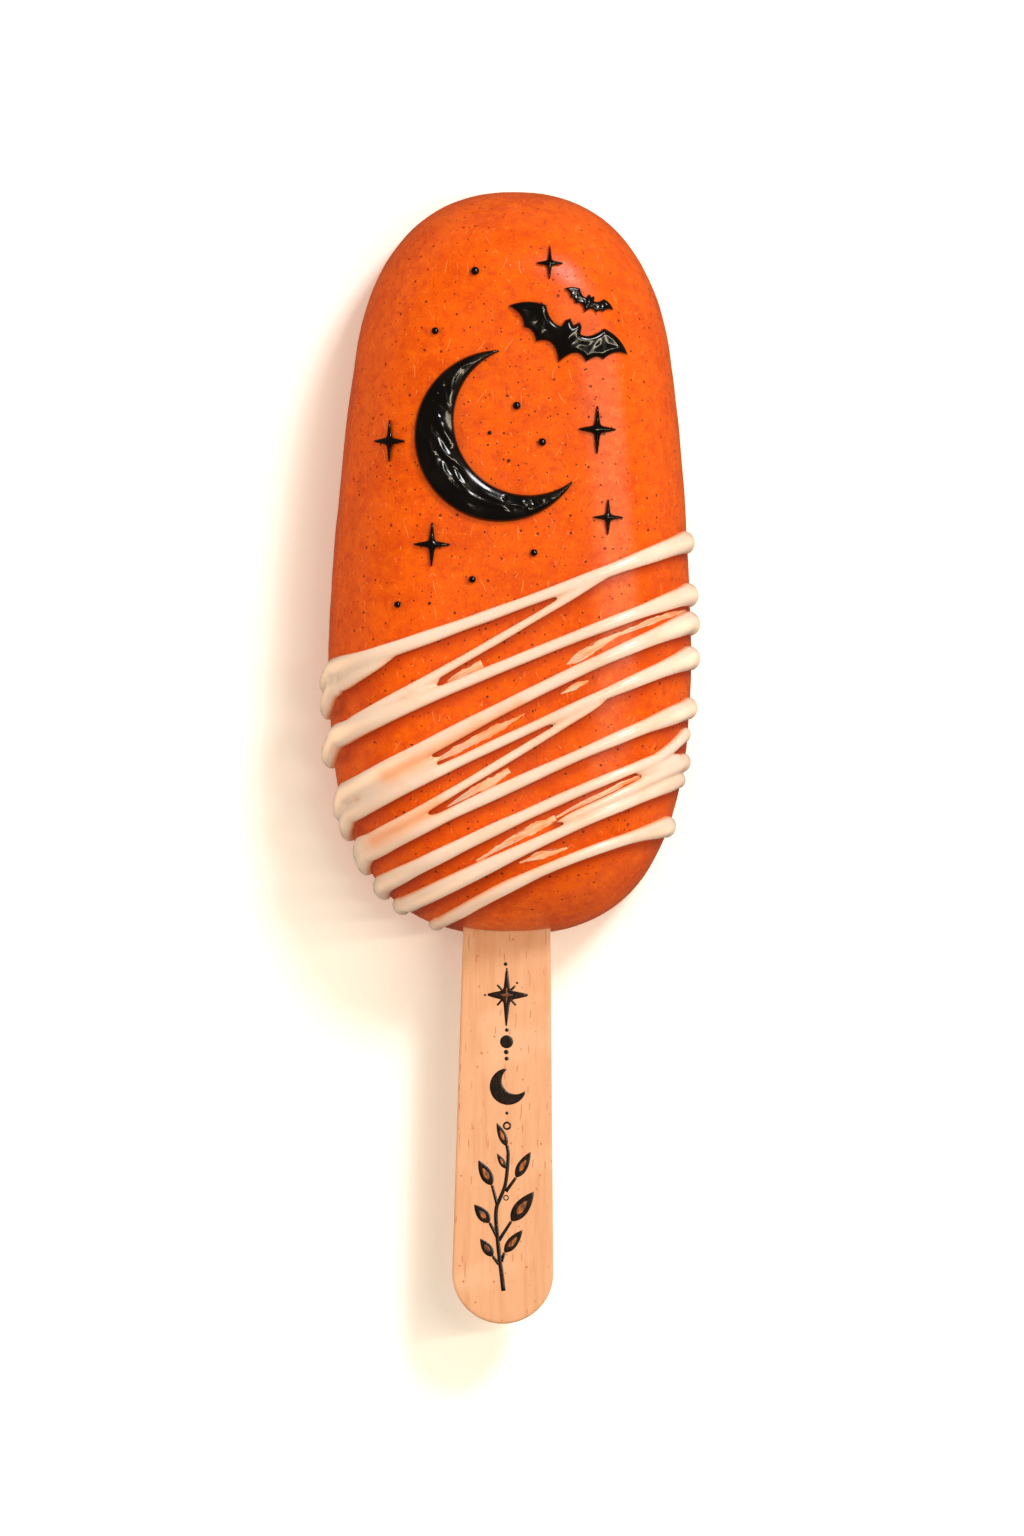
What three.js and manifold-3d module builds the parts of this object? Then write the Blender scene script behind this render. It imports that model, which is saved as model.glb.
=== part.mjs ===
// A cakesicle: a small cake bar on a wooden stick, under an orange coating. White chocolate is
// drizzled over its lower half, and black chocolate stars, beads, a moon and two bats lie on top.
// It lies on its flat back. The origin is the middle of the back, +Y runs to the round top end,
// away from the stick, and +Z runs up through the decorated face. Sizes are in millimetres.

import * as THREE from "three";
import { mergeVertices } from "three/addons/utils/BufferGeometryUtils.js";
import Module from "manifold-3d";

// Driving sizes of the cake bar
const HEAD_TOP = 47.5;
const HEAD_BOTTOM = -47.5;
const HEAD_HEIGHT = 23.5;
const HIP = new THREE.Vector2(23.17, -12.15); // the widest place of the outline
const SHOULDER = new THREE.Vector2(20.09, 26.66); // where the side turns into the round end
const SHOULDER_LEAN = 0.14; // how far the side leans in there, for each millimetre up
const TOP_REACH = 12.5; // handles of the outline's curves, from each named place
const SHOULDER_REACH = 11.7;
const FLANK_REACH = 10.6;
const HIP_REACH = 10.9;
const HIP_DROP = 27.6;
const BOTTOM_REACH = 14.9;

// The skin's profile, from the back over the side to the crown
const WIDEST_Z = 4; // height of the widest place of the side
const FOOT_INSET = 1.6; // how far the flat back stops short of the outline
const FOOT_POWER = 2.6;
const CROWN_INSET = 14; // the skin is level from here inwards
const SIDE_POWER = 2.6;
const TOP_POWER = 2.2;

// The stick
const STICK_TIP_Y = -97.1;
const STICK_TIP_RADIUS = 6.45;
const STICK_ROOT_RADIUS = 4.8;
const STICK_ROOT_Y = -3.6; // its end inside the cake
const STICK_THICK = 2;
const STICK_MIDDLE_Z = 9.6;
const STICK_BEVEL = 0.3;
const STICK_END_STEPS = 14; // straight pieces round each of its ends

// Clear space between two pieces that touch
const GAP = 0.3;

// How finely the pieces are made
const OUTLINE_STEPS = 80;
const OUTLINE_SAMPLES = 480;
const SIDE_LEVELS = 8;
const FOOT_LEVELS = 3;
const CORE_INSET = 9; // beyond this the rings close in on the spine
const SPINE_SHARE = 0.62; // length of the spine against the innermost ring

// Drizzle
const RIM_INSET = 0.9; // where a strand leaves the face and turns down the side
const STRAND_RISE = 0.52; // height of a strand against its width
const STRAND_ROOT = 0.35; // how deep it reaches into the skin, against its width
const STRAND_SINK = 0.1; // how far its widest place lies under the skin
const STRAND_STEP = 3.4; // distance between two sections
const FACE_STEPS = 60; // places of its line on the face and down each side
const DROP_STEPS = 10;
const STRAND_ANGLES = [0, 45, 90, 135, 180, 270]; // corners of a section, in degrees
const END_SWELL = 5; // how late a strand swells towards the rim

// Each strand crosses the face from left through middle to right, as [x, y]. Its widths are
// those at the left end, in the middle and at the right end. Its drops are the heights at which
// its two ends hang on the side. An end with no drop lies on the face, in the strand beside it.
const STRANDS = [
  {
    left: [-23.6, -14.3], middle: [-0.4, -5.85], right: [22.8, 3.3],
    widths: [2.7, 1.5, 2.9], drops: [6, 8.5],
  },
  {
    left: [-23.7, -17.4], middle: [-16.9, -14.0], right: [-8.0, -9.4],
    widths: [2.7, 2.0, 1.0], drops: [4.5],
  },
  {
    left: [-13.5, -17.3], middle: [0, -8.8], right: [13.3, -0.5],
    widths: [1.3, 1.15, 1.0], drops: [],
  },
  {
    left: [-23.3, -23.1], middle: [-0.2, -12.9], right: [22.9, -3.5],
    widths: [3.3, 1.5, 2.9], drops: [4, 8],
  },
  {
    left: [-22.2, -30.6], middle: [0.5, -17.8], right: [23.2, -7.0],
    widths: [2.9, 1.65, 3.0], drops: [5, 7.5],
  },
  {
    left: [-21.2, -32.9], middle: [1.2, -21.75], right: [23.5, -11.4],
    widths: [2.6, 1.4, 3.1], drops: [3.5, 8],
  },
  {
    left: [-19.9, -36.9], middle: [-6.7, -29.0], right: [8.5, -19.5],
    widths: [2.2, 1.1, 0.9], drops: [6.5],
  },
  {
    left: [-19.8, -38.3], middle: [1.8, -27.7], right: [23.4, -17.9],
    widths: [2.5, 1.6, 2.9], drops: [5, 8.5],
  },
  {
    left: [-16.7, -41.5], middle: [2.0, -32.2], right: [19.6, -24.3],
    widths: [2.6, 1.45, 1.5], drops: [5],
  },
  {
    left: [17.0, -25.5], middle: [20.7, -23.0], right: [23.6, -19.4],
    widths: [1.3, 1.7, 1.9], drops: [undefined, 10],
  },
  {
    left: [6.0, -33.1], middle: [14.8, -28.9], right: [23.4, -24.1],
    widths: [0.8, 1.1, 2.3], drops: [undefined, 8],
  },
  {
    left: [-13.9, -44.1], middle: [4.4, -35.3], right: [22.6, -26.9],
    widths: [2.4, 1.45, 2.0], drops: [5.5, 9],
  },
  {
    left: [-9.0, -46.1], middle: [6.4, -38.2], right: [21.8, -32.8],
    widths: [1.9, 1.5, 3.0], drops: [7, 8],
  },
];
const RUN_ON = 2.5; // how far a strand keeps its heading once it is over the rim
const SAG = 0.21; // how far it sank towards the stick, for each millimetre that it hangs
const MOST_SLANT = 0.5; // the most that it runs sideways over the rim, against its way out

// Stars, each with its middle and the lengths of its four arms
const STARS = [
  { at: [4.5, 38.2], up: 2.2, down: 2.0, side: 1.65 },
  { at: [-15.7, 15.3], up: 2.7, down: 2.65, side: 1.95 },
  { at: [10.8, 17.1], up: 2.95, down: 3.1, side: 2.35 },
  { at: [12.3, 5.9], up: 2.3, down: 2.2, side: 1.9 },
  { at: [-10.1, 2.2], up: 2.8, down: 2.75, side: 2.3 },
];
const STAR_EDGE = 0.3; // height of a star's edge over the skin
const STAR_PEAK = 0.75;
const STAR_ROOT = 0.6; // how deep stars and beads reach into the skin
const STAR_WAIST = 0.19; // the hollow between two arms, against their mean length
const ARM_HALF_WIDTH = 0.075; // half way out, against the arm's length

// Beads, each with its middle and its diameter
const BEADS = [
  { at: [-5.0, 37.1], across: 1.07 },
  { at: [-10.0, 29.4], across: 0.9 },
  { at: [0.5, 20.0], across: 1.02 },
  { at: [3.8, 15.4], across: 1.02 },
  { at: [2.9, 1.3], across: 0.9 },
  { at: [-4.9, -2.2], across: 0.9 },
  { at: [-14.4, -5.5], across: 0.85 },
];
const BEAD_LIFT = 0.3; // height of a bead's middle over the skin, against its diameter

// The moon lies between two circles
const MOON_OUTER = { middle: new THREE.Vector2(-1.54, 16.1), radius: 10.96 };
const MOON_INNER = { middle: new THREE.Vector2(2.05, 18.16), radius: 9.52 };
const MOON_STEPS = 30;
const MOON_HEIGHT = 1.45; // its tallest place over the skin
const MOON_EDGE = 0.7;
const MOON_LUMP = 0.16; // depth of the modelled lumps
const MOON_LUMPS = 9;

// Half of a bat, as shares of its span, from between the ears to the tail. A place with a
// handle ends a curve, and the others end straight lines.
const BAT_HALF = [
  { to: [0.04, 0.092] }, // ear
  { to: [0.07, 0.062] },
  { to: [0.08, 0.008] }, // neck
  { to: [0.242, 0.118], handle: [0.17, -0.005] }, // wrist
  { to: [0.5, 0], handle: [0.4, 0.11] }, // wing tip
  { to: [0.333, -0.11], handle: [0.375, -0.005] },
  { to: [0.21, -0.178], handle: [0.262, -0.085] },
  { to: [0, -0.262], handle: [0.095, -0.07] }, // tail
];
const BAT_BROW = 0.052; // height of the head between the ears, against the span
const BAT_CURVE_STEPS = 5;
const LEFT_WING = 1.05; // the wings were cut by hand, so the left one is the longer
const RIGHT_WING = 0.95;
const BATS = [
  { name: "bat_large", at: [7.3, 29.55], span: 16.4, turn: -21.3, wing: 1.2, body: 1.5 },
  { name: "bat_small", at: [9.7, 33.6], span: 6.8, turn: -22.8, wing: 0.95, body: 1.2 },
];

// Depth to which the moon's and the bats' blanks reach before the skin is cut away from them
const BLANK_ROOT = 0.8;

const COLOURS = {
  coat: new THREE.MeshStandardMaterial({ color: 0xf2640f, roughness: 0.5 }),
  wood: new THREE.MeshStandardMaterial({ color: 0xe9b17e, roughness: 0.7 }),
  black: new THREE.MeshStandardMaterial({ color: 0x1a1412, roughness: 0.25 }),
};

const wasm = await Module();
wasm.setup();

// Turns a closed geometry into a solid that can be joined and cut.
function toSolid(geometry) {
  const bare = geometry.clone();
  bare.deleteAttribute("normal");
  bare.deleteAttribute("uv");
  const merged = mergeVertices(bare, 1e-4);
  const mesh = new wasm.Mesh({
    numProp: 3,
    vertProperties: merged.attributes.position.array,
    triVerts: new Uint32Array(merged.index.array),
  });
  return new wasm.Manifold(mesh);
}

function toGeometry(solid) {
  const mesh = solid.getMesh();
  const geometry = new THREE.BufferGeometry();
  geometry.setAttribute("position", new THREE.BufferAttribute(mesh.vertProperties, 3));
  geometry.setIndex(new THREE.BufferAttribute(mesh.triVerts, 1));
  geometry.computeVertexNormals();
  return geometry;
}

function middleOf(ring) {
  const sum = new THREE.Vector3();
  ring.forEach((point) => sum.add(point));
  return sum.divideScalar(ring.length);
}

// Skins a row of rings, which all run counter-clockwise seen from the last one. The first ring
// is closed by a fan, and so is the last, unless its own points already meet in pairs.
function skinned(rings, { closeEnd = true, peak = 0 } = {}) {
  const size = rings[0].length;
  const points = rings.flat();
  const index = [];
  for (let ring = 0; ring < rings.length - 1; ring++) {
    for (let i = 0; i < size; i++) {
      const next = (i + 1) % size;
      const [a, b] = [ring * size + i, ring * size + next];
      index.push(a, b, b + size, a, b + size, a + size);
    }
  }
  const start = points.push(middleOf(rings[0])) - 1;
  for (let i = 0; i < size; i++) index.push(start, (i + 1) % size, i);
  if (closeEnd) {
    const tip = middleOf(rings.at(-1));
    tip.z += peak;
    const end = points.push(tip) - 1;
    const first = (rings.length - 1) * size;
    for (let i = 0; i < size; i++) index.push(end, first + i, first + ((i + 1) % size));
  }
  const geometry = new THREE.BufferGeometry().setFromPoints(points);
  geometry.setIndex(index);
  return toSolid(geometry);
}

// The outline of the cake bar, counter-clockwise from the middle of its lower end
function headOutline(count) {
  const upward = new THREE.Vector2(-SHOULDER_LEAN, 1).normalize();
  const below = SHOULDER.clone().addScaledVector(upward, -FLANK_REACH);
  const above = SHOULDER.clone().addScaledVector(upward, SHOULDER_REACH);
  const side = new THREE.Path();
  side.moveTo(0, HEAD_BOTTOM);
  side.bezierCurveTo(BOTTOM_REACH, HEAD_BOTTOM, HIP.x, HIP.y - HIP_DROP, HIP.x, HIP.y);
  side.bezierCurveTo(HIP.x, HIP.y + HIP_REACH, below.x, below.y, SHOULDER.x, SHOULDER.y);
  side.bezierCurveTo(above.x, above.y, TOP_REACH, HEAD_TOP, 0, HEAD_TOP);
  const right = side.getSpacedPoints(count / 2);
  const left = right.slice(1, -1).reverse();
  return [...right, ...left.map((point) => new THREE.Vector2(-point.x, point.y))];
}

const rim = headOutline(OUTLINE_SAMPLES);
const rimStep = rim[0].distanceTo(rim[1]);
const wrapped = (list, i) => list[(i + list.length) % list.length];

function outwardAt(list, i) {
  const along = wrapped(list, i + 1).clone().sub(wrapped(list, i - 1)).normalize();
  return new THREE.Vector2(along.y, -along.x);
}

const rimOutward = rim.map((_, i) => outwardAt(rim, i));

// The place on the rim at a distance along it
function rimAt(distance) {
  const whole = Math.floor(distance / rimStep);
  const share = distance / rimStep - whole;
  const point = wrapped(rim, whole).clone().lerp(wrapped(rim, whole + 1), share);
  const outward = wrapped(rimOutward, whole).clone().lerp(wrapped(rimOutward, whole + 1), share);
  return { point, outward: outward.normalize() };
}

// The rim's nearest place to a point, and how far in from it the point lies
function nearestRim(x, y) {
  const here = new THREE.Vector2(x, y);
  let best = 0;
  rim.forEach((point, i) => {
    if (point.distanceToSquared(here) < rim[best].distanceToSquared(here)) best = i;
  });
  const outward = rimOutward[best];
  const offset = rim[best].clone().sub(here);
  const sideways = offset.x * outward.y - offset.y * outward.x;
  return { distance: best * rimStep + sideways, inset: offset.dot(outward), outward };
}

// Height of the skin at a distance in from the outline, and the other way round
function skinHeight(inset) {
  const share = Math.max(0, 1 - Math.max(0, inset) / CROWN_INSET) ** SIDE_POWER;
  return WIDEST_Z + (HEAD_HEIGHT - WIDEST_Z) * (1 - share) ** (1 / TOP_POWER);
}

function skinInset(height) {
  if (height < WIDEST_Z) {
    const low = (WIDEST_Z - height) / WIDEST_Z;
    return FOOT_INSET * (1 - (1 - low ** FOOT_POWER) ** (1 / FOOT_POWER));
  }
  const high = Math.min(1, (height - WIDEST_Z) / (HEAD_HEIGHT - WIDEST_Z));
  return CROWN_INSET * (1 - (1 - high ** TOP_POWER) ** (1 / SIDE_POWER));
}

function skinNormal(outward, height) {
  const reach = 0.01;
  if (height > HEAD_HEIGHT - reach) return new THREE.Vector3(0, 0, 1);
  const rise = (skinInset(height + reach) - skinInset(height - reach)) / (2 * reach);
  return new THREE.Vector3(outward.x, outward.y, rise).normalize();
}

// A place on the side, with the direction that the skin faces there
function onSide(distance, height) {
  const { point, outward } = rimAt(distance);
  const flat = point.addScaledVector(outward, -skinInset(height));
  return { at: new THREE.Vector3(flat.x, flat.y, height), normal: skinNormal(outward, height) };
}

// A place on the face
function onFace(x, y) {
  const { inset, outward } = nearestRim(x, y);
  const height = skinHeight(inset);
  return { at: new THREE.Vector3(x, y, height), normal: skinNormal(outward, height) };
}

const faceHeight = (x, y) => onFace(x, y).at.z;

// The coated bar without its toppings. The grow value moves its skin outwards.
function coatSolid(grow = 0) {
  const outline = headOutline(OUTLINE_STEPS);
  const ring = (inset, height) =>
    outline.map((point, i) => {
      const moved = point.clone().addScaledVector(outwardAt(outline, i), grow - inset);
      return new THREE.Vector3(moved.x, moved.y, height);
    });
  const rings = [];
  for (let level = 0; level < FOOT_LEVELS; level++) {
    const height = WIDEST_Z * (1 - Math.cos((Math.PI / 2) * (level / FOOT_LEVELS)));
    rings.push(ring(skinInset(height), height - grow));
  }
  const slope = Math.acos((1 - CORE_INSET / CROWN_INSET) ** (SIDE_POWER / 2));
  for (let level = 0; level <= SIDE_LEVELS; level++) {
    const share = Math.cos(slope * (level / SIDE_LEVELS)) ** (2 / SIDE_POWER);
    const inset = CROWN_INSET * (1 - share);
    rings.push(ring(inset, skinHeight(inset) + (level > 0 ? grow : 0)));
  }
  const core = rings.at(-1);
  for (const share of [0.45, 1]) {
    rings.push(
      core.map((point) => {
        const flat = [point.x * (1 - share), point.y * (1 - share * (1 - SPINE_SHARE))];
        return new THREE.Vector3(...flat, faceHeight(...flat) + grow);
      }),
    );
  }
  return skinned(rings, { closeEnd: false });
}

// The stick's flat shape
function stickShape(grow) {
  const tipMiddle = STICK_TIP_Y + STICK_TIP_RADIUS;
  const rootMiddle = STICK_ROOT_Y - STICK_ROOT_RADIUS;
  const tip = STICK_TIP_RADIUS + grow;
  const root = STICK_ROOT_RADIUS + grow;
  const shape = new THREE.Shape();
  shape.moveTo(-tip, tipMiddle);
  shape.lineTo(-root, rootMiddle);
  shape.absarc(0, rootMiddle, root, Math.PI, 0, true);
  shape.lineTo(tip, tipMiddle);
  shape.absarc(0, tipMiddle, tip, 0, -Math.PI, true);
  return shape;
}

function stickSolid() {
  const geometry = new THREE.ExtrudeGeometry(stickShape(-STICK_BEVEL), {
    depth: STICK_THICK - 2 * STICK_BEVEL,
    bevelThickness: STICK_BEVEL,
    bevelSize: STICK_BEVEL,
    bevelSegments: 1,
    curveSegments: STICK_END_STEPS,
  });
  geometry.translate(0, 0, STICK_MIDDLE_Z - STICK_THICK / 2 + STICK_BEVEL);
  return toSolid(geometry);
}

function socketSolid() {
  const depth = STICK_THICK + 2 * GAP;
  const settings = { depth, bevelEnabled: false, curveSegments: STICK_END_STEPS };
  const geometry = new THREE.ExtrudeGeometry(stickShape(GAP), settings);
  geometry.translate(0, 0, STICK_MIDDLE_Z - depth / 2);
  return toSolid(geometry);
}

// The places down the side that a strand passes after the last two places on the face
function runDown(previous, edge, drop) {
  const { distance, outward } = nearestRim(edge.at.x, edge.at.y);
  const heading = edge.at.clone().sub(previous.at);
  const outwards = heading.x * outward.x + heading.y * outward.y;
  const sideways = heading.y * outward.x - heading.x * outward.y;
  const slant = THREE.MathUtils.clamp(sideways / outwards, -MOST_SLANT, MOST_SLANT);
  return Array.from({ length: DROP_STEPS }, (_, i) => {
    const fall = ((edge.at.z - drop) * (i + 1)) / DROP_STEPS;
    const slide = slant * RUN_ON * (1 - Math.exp(-fall / RUN_ON)) - SAG * fall * outward.x;
    return { ...onSide(distance + slide, edge.at.z - fall), swell: 1 };
  });
}

// The places that a strand's middle line passes, from its left end to its right end
function strandLine({ left, middle, right, drops }) {
  const corner = middle.map((value, i) => 2 * value - (left[i] + right[i]) / 2);
  const ends = [left, corner, right].map((point) => new THREE.Vector2(...point));
  const flat = new THREE.QuadraticBezierCurve(...ends).getPoints(FACE_STEPS);
  const face = flat.filter((point) => nearestRim(point.x, point.y).inset > RIM_INSET);
  const line = face.map((point, i) => {
    const share = Math.abs((2 * i) / (face.length - 1) - 1);
    return { ...onFace(point.x, point.y), swell: share ** END_SWELL };
  });
  const [leftDrop, rightDrop] = drops;
  const before = leftDrop === undefined ? [] : runDown(line[1], line[0], leftDrop);
  const after = rightDrop === undefined ? [] : runDown(line.at(-2), line.at(-1), rightDrop);
  return [...before.reverse(), ...line, ...after];
}

// Places along a line at the given distances from its start
function placesAlong(line, distances) {
  let travelled = 0;
  let i = 0;
  return distances.map((distance) => {
    let step = line[i + 1].at.distanceTo(line[i].at);
    while (travelled + step < distance && i < line.length - 2) {
      travelled += step;
      i += 1;
      step = line[i + 1].at.distanceTo(line[i].at);
    }
    const share = Math.min(1, (distance - travelled) / step);
    const at = line[i].at.clone().lerp(line[i + 1].at, share);
    const normal = line[i].normal.clone().lerp(line[i + 1].normal, share).normalize();
    const ahead = line[i + 1].at.clone().sub(line[i].at).normalize();
    const swell = THREE.MathUtils.lerp(line[i].swell, line[i + 1].swell, share);
    return { at, normal, ahead, swell };
  });
}

function lengthOf(line) {
  return line.slice(1).reduce((sum, place, i) => sum + place.at.distanceTo(line[i].at), 0);
}

// One strand: flattened round sections along its line, with rounded ends
function strandSolid(strand) {
  const line = strandLine(strand);
  const length = lengthOf(line);
  const [first, usual, last] = strand.widths;
  const [startRound, endRound] = [first / 2, last / 2];
  const body = length - startRound - endRound;
  const steps = Math.ceil(body / STRAND_STEP);
  const distances = [0.08 * startRound, 0.4 * startRound];
  for (let i = 0; i <= steps; i++) distances.push(startRound + (body * i) / steps);
  distances.push(length - 0.4 * endRound, length - 0.08 * endRound);
  const rings = placesAlong(line, distances).map((place, i) => {
    const distance = distances[i];
    const toEnd = Math.min(distance / startRound, (length - distance) / endRound, 1);
    const round = Math.sqrt(1 - (1 - toEnd) ** 2);
    const end = distance < length / 2 ? first : last;
    const width = (usual + (end - usual) * place.swell) * round;
    const across = new THREE.Vector3().crossVectors(place.normal, place.ahead).normalize();
    return STRAND_ANGLES.map((degrees) => {
      const angle = THREE.MathUtils.degToRad(degrees);
      const rise = Math.sin(angle) * width * (degrees > 180 ? STRAND_ROOT : STRAND_RISE);
      const point = place.at.clone().addScaledVector(across, (Math.cos(angle) * width) / 2);
      return point.addScaledVector(place.normal, rise - STRAND_SINK);
    });
  });
  return skinned(rings);
}

// A four-armed star with a ridge along each arm
function starSolid({ at, up, down, side }) {
  const arms = [side, up, side, down];
  const flat = [];
  arms.forEach((length, i) => {
    const next = arms[(i + 1) % arms.length];
    const waist = (STAR_WAIST * (length + next)) / 2;
    const turn = (Math.PI / 2) * i;
    const middle = new THREE.Vector2(...at);
    const place = (x, y) => new THREE.Vector2(x, y).rotateAround(new THREE.Vector2(), turn).add(middle);
    flat.push(place(length, 0));
    flat.push(place(length / 2, length * ARM_HALF_WIDTH));
    flat.push(place(waist, waist));
    flat.push(place(next * ARM_HALF_WIDTH, next / 2));
  });
  const ring = (height) =>
    flat.map((point) => new THREE.Vector3(point.x, point.y, faceHeight(...at) + height));
  const rings = [ring(-STAR_ROOT), ring(STAR_EDGE)];
  return skinned(rings, { peak: STAR_PEAK - STAR_EDGE });
}

function beadSolid({ at, across }) {
  const geometry = new THREE.SphereGeometry(across / 2, 8, 6);
  geometry.translate(...at, faceHeight(...at) + across * BEAD_LIFT);
  return toSolid(geometry);
}

// The two angles, seen from a circle's middle, at which the moon's circles cross
function moonTips(circle) {
  const between = MOON_INNER.middle.clone().sub(MOON_OUTER.middle);
  const apart = between.length();
  const outerSquare = MOON_OUTER.radius ** 2;
  const reach = (apart ** 2 + outerSquare - MOON_INNER.radius ** 2) / (2 * apart);
  const half = Math.sqrt(outerSquare - reach ** 2);
  const along = between.clone().normalize();
  const foot = MOON_OUTER.middle.clone().addScaledVector(along, reach);
  const up = new THREE.Vector2(-along.y, along.x);
  const [start, end] = [half, -half].map((height) => {
    const tip = foot.clone().addScaledVector(up, height).sub(circle.middle);
    return Math.atan2(tip.y, tip.x);
  });
  return [start, end < start ? end + 2 * Math.PI : end];
}

// The moon: domed sections from its inner to its outer edge, with modelled lumps
function moonBlank() {
  const place = (circle, share) => {
    const [start, end] = moonTips(circle);
    const angle = THREE.MathUtils.lerp(start, end, share);
    const reach = new THREE.Vector2(Math.cos(angle), Math.sin(angle));
    return circle.middle.clone().addScaledVector(reach, circle.radius);
  };
  const rings = [];
  for (let step = 0; step <= MOON_STEPS; step++) {
    const share = 0.012 + (0.976 * step) / MOON_STEPS;
    const outer = place(MOON_OUTER, share);
    const inner = place(MOON_INNER, share);
    const width = outer.distanceTo(inner);
    const crest = Math.min(MOON_HEIGHT, MOON_EDGE + width / 4);
    const lump = MOON_LUMP * Math.sin(2 * Math.PI * MOON_LUMPS * share) * Math.min(1, width / 3);
    const section = [
      [1, -BLANK_ROOT],
      [1, MOON_EDGE],
      [0.82, crest],
      [0.55, crest - lump - MOON_LUMP],
      [0.22, crest + lump],
      [0, MOON_EDGE],
      [0, -BLANK_ROOT],
    ];
    rings.push(
      section.map(([across, height]) => {
        const flat = outer.clone().lerp(inner, across);
        return new THREE.Vector3(flat.x, flat.y, faceHeight(flat.x, flat.y) + height);
      }),
    );
  }
  return skinned(rings);
}

// A bat's flat shape, in millimetres about the middle of its body
function batShape(span) {
  const half = new THREE.Path();
  half.moveTo(0, BAT_BROW * span);
  for (const { to, handle } of BAT_HALF) {
    const end = to.map((value) => value * span);
    if (handle) half.quadraticCurveTo(handle[0] * span, handle[1] * span, ...end);
    else half.lineTo(...end);
  }
  const outline = half.getPoints(BAT_CURVE_STEPS);
  const wing = (points, share) => points.map(({ x, y }) => new THREE.Vector2(x * share, y));
  const left = outline.slice(1, -1).reverse();
  return new THREE.Shape([...wing(outline, RIGHT_WING), ...wing(left, -LEFT_WING)]);
}

// A bat: flat wings and a raised body, bent to lie on the face
function batBlank({ at, span, turn, wing, body }) {
  const depth = BLANK_ROOT + wing;
  const wings = new THREE.ExtrudeGeometry(batShape(span), { depth, bevelEnabled: false });
  wings.translate(0, 0, -BLANK_ROOT);
  const trunk = new THREE.SphereGeometry(1, 12, 8);
  trunk.scale(0.075 * span, 0.15 * span, body);
  trunk.translate(0, -0.07 * span, 0);
  const bend = (geometry) => {
    geometry.rotateZ(THREE.MathUtils.degToRad(turn));
    geometry.translate(...at, 0);
    const places = geometry.attributes.position;
    for (let i = 0; i < places.count; i++) {
      const height = faceHeight(places.getX(i), places.getY(i));
      places.setZ(i, places.getZ(i) + height);
    }
    return toSolid(geometry);
  };
  return bend(wings).add(bend(trunk));
}

function addMesh(group, name, solid, material) {
  const mesh = new THREE.Mesh(toGeometry(solid), material);
  mesh.name = name;
  group.add(mesh);
}

function cakesicle() {
  const group = new THREE.Group();
  const toppings = [...STRANDS.map(strandSolid), ...STARS.map(starSolid), ...BEADS.map(beadSolid)];
  const cake = toppings.reduce((whole, piece) => whole.add(piece), coatSolid());
  addMesh(group, "coated_cake", cake.subtract(socketSolid()), COLOURS.coat);
  addMesh(group, "stick", stickSolid(), COLOURS.wood);
  const clearance = coatSolid(GAP);
  addMesh(group, "moon", moonBlank().subtract(clearance), COLOURS.black);
  for (const bat of BATS) {
    addMesh(group, bat.name, batBlank(bat).subtract(clearance), COLOURS.black);
  }
  return group;
}

export default cakesicle();
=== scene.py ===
# %% [markdown]
# # A cakesicle
# The object is a small cake bar on a wooden stick. It has an orange coating, a drizzle of white
# chocolate over its lower half, and a moon, two bats, stars and beads of black chocolate.
# The imported model is loaded first. It is the frame: it says where each part lies, and every
# piece made below takes the place of one of its solids. The size of each of its parts is printed.

# %% Load the frame
import math
import random

import bmesh
import bpy
import numpy as np
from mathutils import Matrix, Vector, geometry, noise


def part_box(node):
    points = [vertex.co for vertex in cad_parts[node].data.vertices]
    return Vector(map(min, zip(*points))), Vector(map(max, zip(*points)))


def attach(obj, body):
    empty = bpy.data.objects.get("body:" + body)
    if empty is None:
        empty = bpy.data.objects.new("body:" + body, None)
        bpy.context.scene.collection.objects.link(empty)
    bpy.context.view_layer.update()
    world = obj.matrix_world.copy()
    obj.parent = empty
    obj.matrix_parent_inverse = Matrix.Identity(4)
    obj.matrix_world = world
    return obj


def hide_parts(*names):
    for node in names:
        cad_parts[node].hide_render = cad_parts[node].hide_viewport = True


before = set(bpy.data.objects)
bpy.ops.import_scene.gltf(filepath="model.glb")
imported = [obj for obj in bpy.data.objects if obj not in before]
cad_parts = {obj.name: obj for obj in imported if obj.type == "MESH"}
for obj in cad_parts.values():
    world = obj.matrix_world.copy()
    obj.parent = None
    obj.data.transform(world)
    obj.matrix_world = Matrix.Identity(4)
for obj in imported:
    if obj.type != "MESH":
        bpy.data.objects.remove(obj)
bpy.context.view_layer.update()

MM = 0.001  # the sizes below are in millimetres, and Blender's are in metres
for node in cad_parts:
    low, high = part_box(node)
    print(node, "is", [round(size / MM, 1) for size in high - low], "mm")

# %% [markdown]
# ## The bar's outline
# Seen from above, the bar is a long oval that widens towards the stick. One could trace many
# points round it, but three Bezier curves a side describe it with a few named places, and the
# curve can be sampled as finely as a piece needs. The left side mirrors the right one.

# %% Outline of the bar
HEAD_TOP = 47.5
HEAD_BOTTOM = -47.5
HIP = np.array([23.17, -12.15])  # the widest place
SHOULDER = np.array([20.09, 26.66])  # where the side turns into the round end
SHOULDER_LEAN = 0.14
TOP_REACH = 12.5  # lengths of the curves' handles
SHOULDER_REACH = 11.7
FLANK_REACH = 10.6
HIP_REACH = 10.9
HIP_DROP = 27.6
BOTTOM_REACH = 14.9
CURVE_STEPS = 400
RIM_POINTS = 720
LINE_BATCH = 1000  # about how many places are held against a line at once
SHORTEST = 1e-9  # the least length that anything is divided by
TINY = 1e-12  # the same for squared lengths and for differences

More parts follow.
